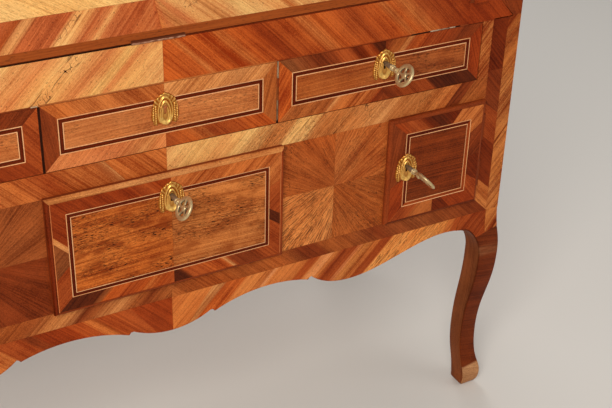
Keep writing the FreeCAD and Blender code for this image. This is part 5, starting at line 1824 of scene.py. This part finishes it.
for node, piece in frame["nodes"].items():
    low, high = box_mm(node)
    axis = int(np.argmax(high - low))
    finish = {
        "carcase_wood": PLAIN[axis], "veneered_wood": GROUND[axis], "solid_nosing_wood": NOSING,
        "gilt_brass": BRASS, "key_steel": KEY_METAL, "lock_steel": LOCK_STEEL,
    }[slot_of[node]]
    piece.data.materials.clear()
    piece.data.materials.append(HINGES.get(node, finish))
print("finished", len(frame["nodes"]), "CAD pieces")

# %% [markdown]
# ## Camera
# The camera stands where the photograph was taken: to the left of the desk, looking down on its front. Its
# place and angles were solved from the edges of the drawers, so they aren't round numbers.

# %% Camera
CAMERA_AT = (-0.47714, FRONT_Y * MM - 1.16484, 1.18933)
CAMERA_TURN = math.radians(30.0655)
CAMERA_DOWN = math.radians(29.7257)
CAMERA_ROLL = math.radians(1.7151)
ahead = np.array([
    math.sin(CAMERA_TURN) * math.cos(CAMERA_DOWN),
    math.cos(CAMERA_TURN) * math.cos(CAMERA_DOWN),
    -math.sin(CAMERA_DOWN),
])
level = np.array([math.cos(CAMERA_TURN), -math.sin(CAMERA_TURN), 0.0])
upright = np.cross(level, ahead)
right = level * math.cos(CAMERA_ROLL) + upright * math.sin(CAMERA_ROLL)
above = np.cross(right, ahead)
lens = bpy.data.cameras.new("photo_camera")
lens.lens = 68.206
lens.sensor_width = 36.0
camera = bpy.data.objects.new("photo_camera", lens)
bpy.context.scene.collection.objects.link(camera)
turn = Matrix(np.stack([right, above, -ahead], 1).tolist()).to_4x4()
camera.matrix_world = Matrix.Translation(CAMERA_AT) @ turn
bpy.context.scene.camera = camera
print("camera at", np.round(CAMERA_AT, 3))

# %% [markdown]
# ## Light
# A room lights a desk from all sides, with one window stronger than the rest. A large soft lamp at the left
# is the window, two weaker ones fill the shadows, and the world adds an even glow.

# %% Lamps and world


def soft_lamp(name, at, towards, size, power, colour):
    """A round area lamp that looks at a point."""
    lamp = bpy.data.lights.new(name, "AREA")
    lamp.shape = "DISK"
    lamp.size = size
    lamp.energy = power
    lamp.color = colour
    holder = bpy.data.objects.new(name, lamp)
    bpy.context.scene.collection.objects.link(holder)
    holder.location = at
    holder.rotation_euler = (Vector(towards) - Vector(at)).to_track_quat("-Z", "Y").to_euler()


soft_lamp("key_lamp", (-1.3, -2.0, 2.0), (0.0, -0.2, 0.55), 1.5, 58, (1.0, 0.96, 0.90))
soft_lamp("fill_lamp", (2.2, -2.0, 1.6), (0.2, -0.2, 0.4), 1.8, 10, (1.0, 0.97, 0.94))
soft_lamp("back_lamp", (0.6, 2.2, 2.4), (0.0, 0.0, 0.5), 1.8, 30, (1.0, 0.98, 0.96))
world = bpy.data.worlds.new("studio")
world.use_nodes = True
glow = world.node_tree.nodes["Background"].inputs
glow["Color"].default_value = (1.0, 0.98, 0.95, 1.0)
glow["Strength"].default_value = 0.32
bpy.context.scene.world = world
bpy.context.scene.view_settings.view_transform = "Standard"
print("lamps", len(bpy.data.lights))

# %% Floor
FLOOR = Finish("pale_floor").finish(Base_Color=rgba(226, 222, 216), Roughness=0.8)
mesh = bpy.data.meshes.new("floor")
mesh.from_pydata([(-40, -40, 0), (40, -40, 0), (40, 40, 0), (-40, 40, 0)], [], [(0, 1, 2, 3)])
mesh.materials.append(FLOOR)
floor = bpy.data.objects.new("floor", mesh)
bpy.context.scene.collection.objects.link(floor)
print("floor", FLOOR.name)
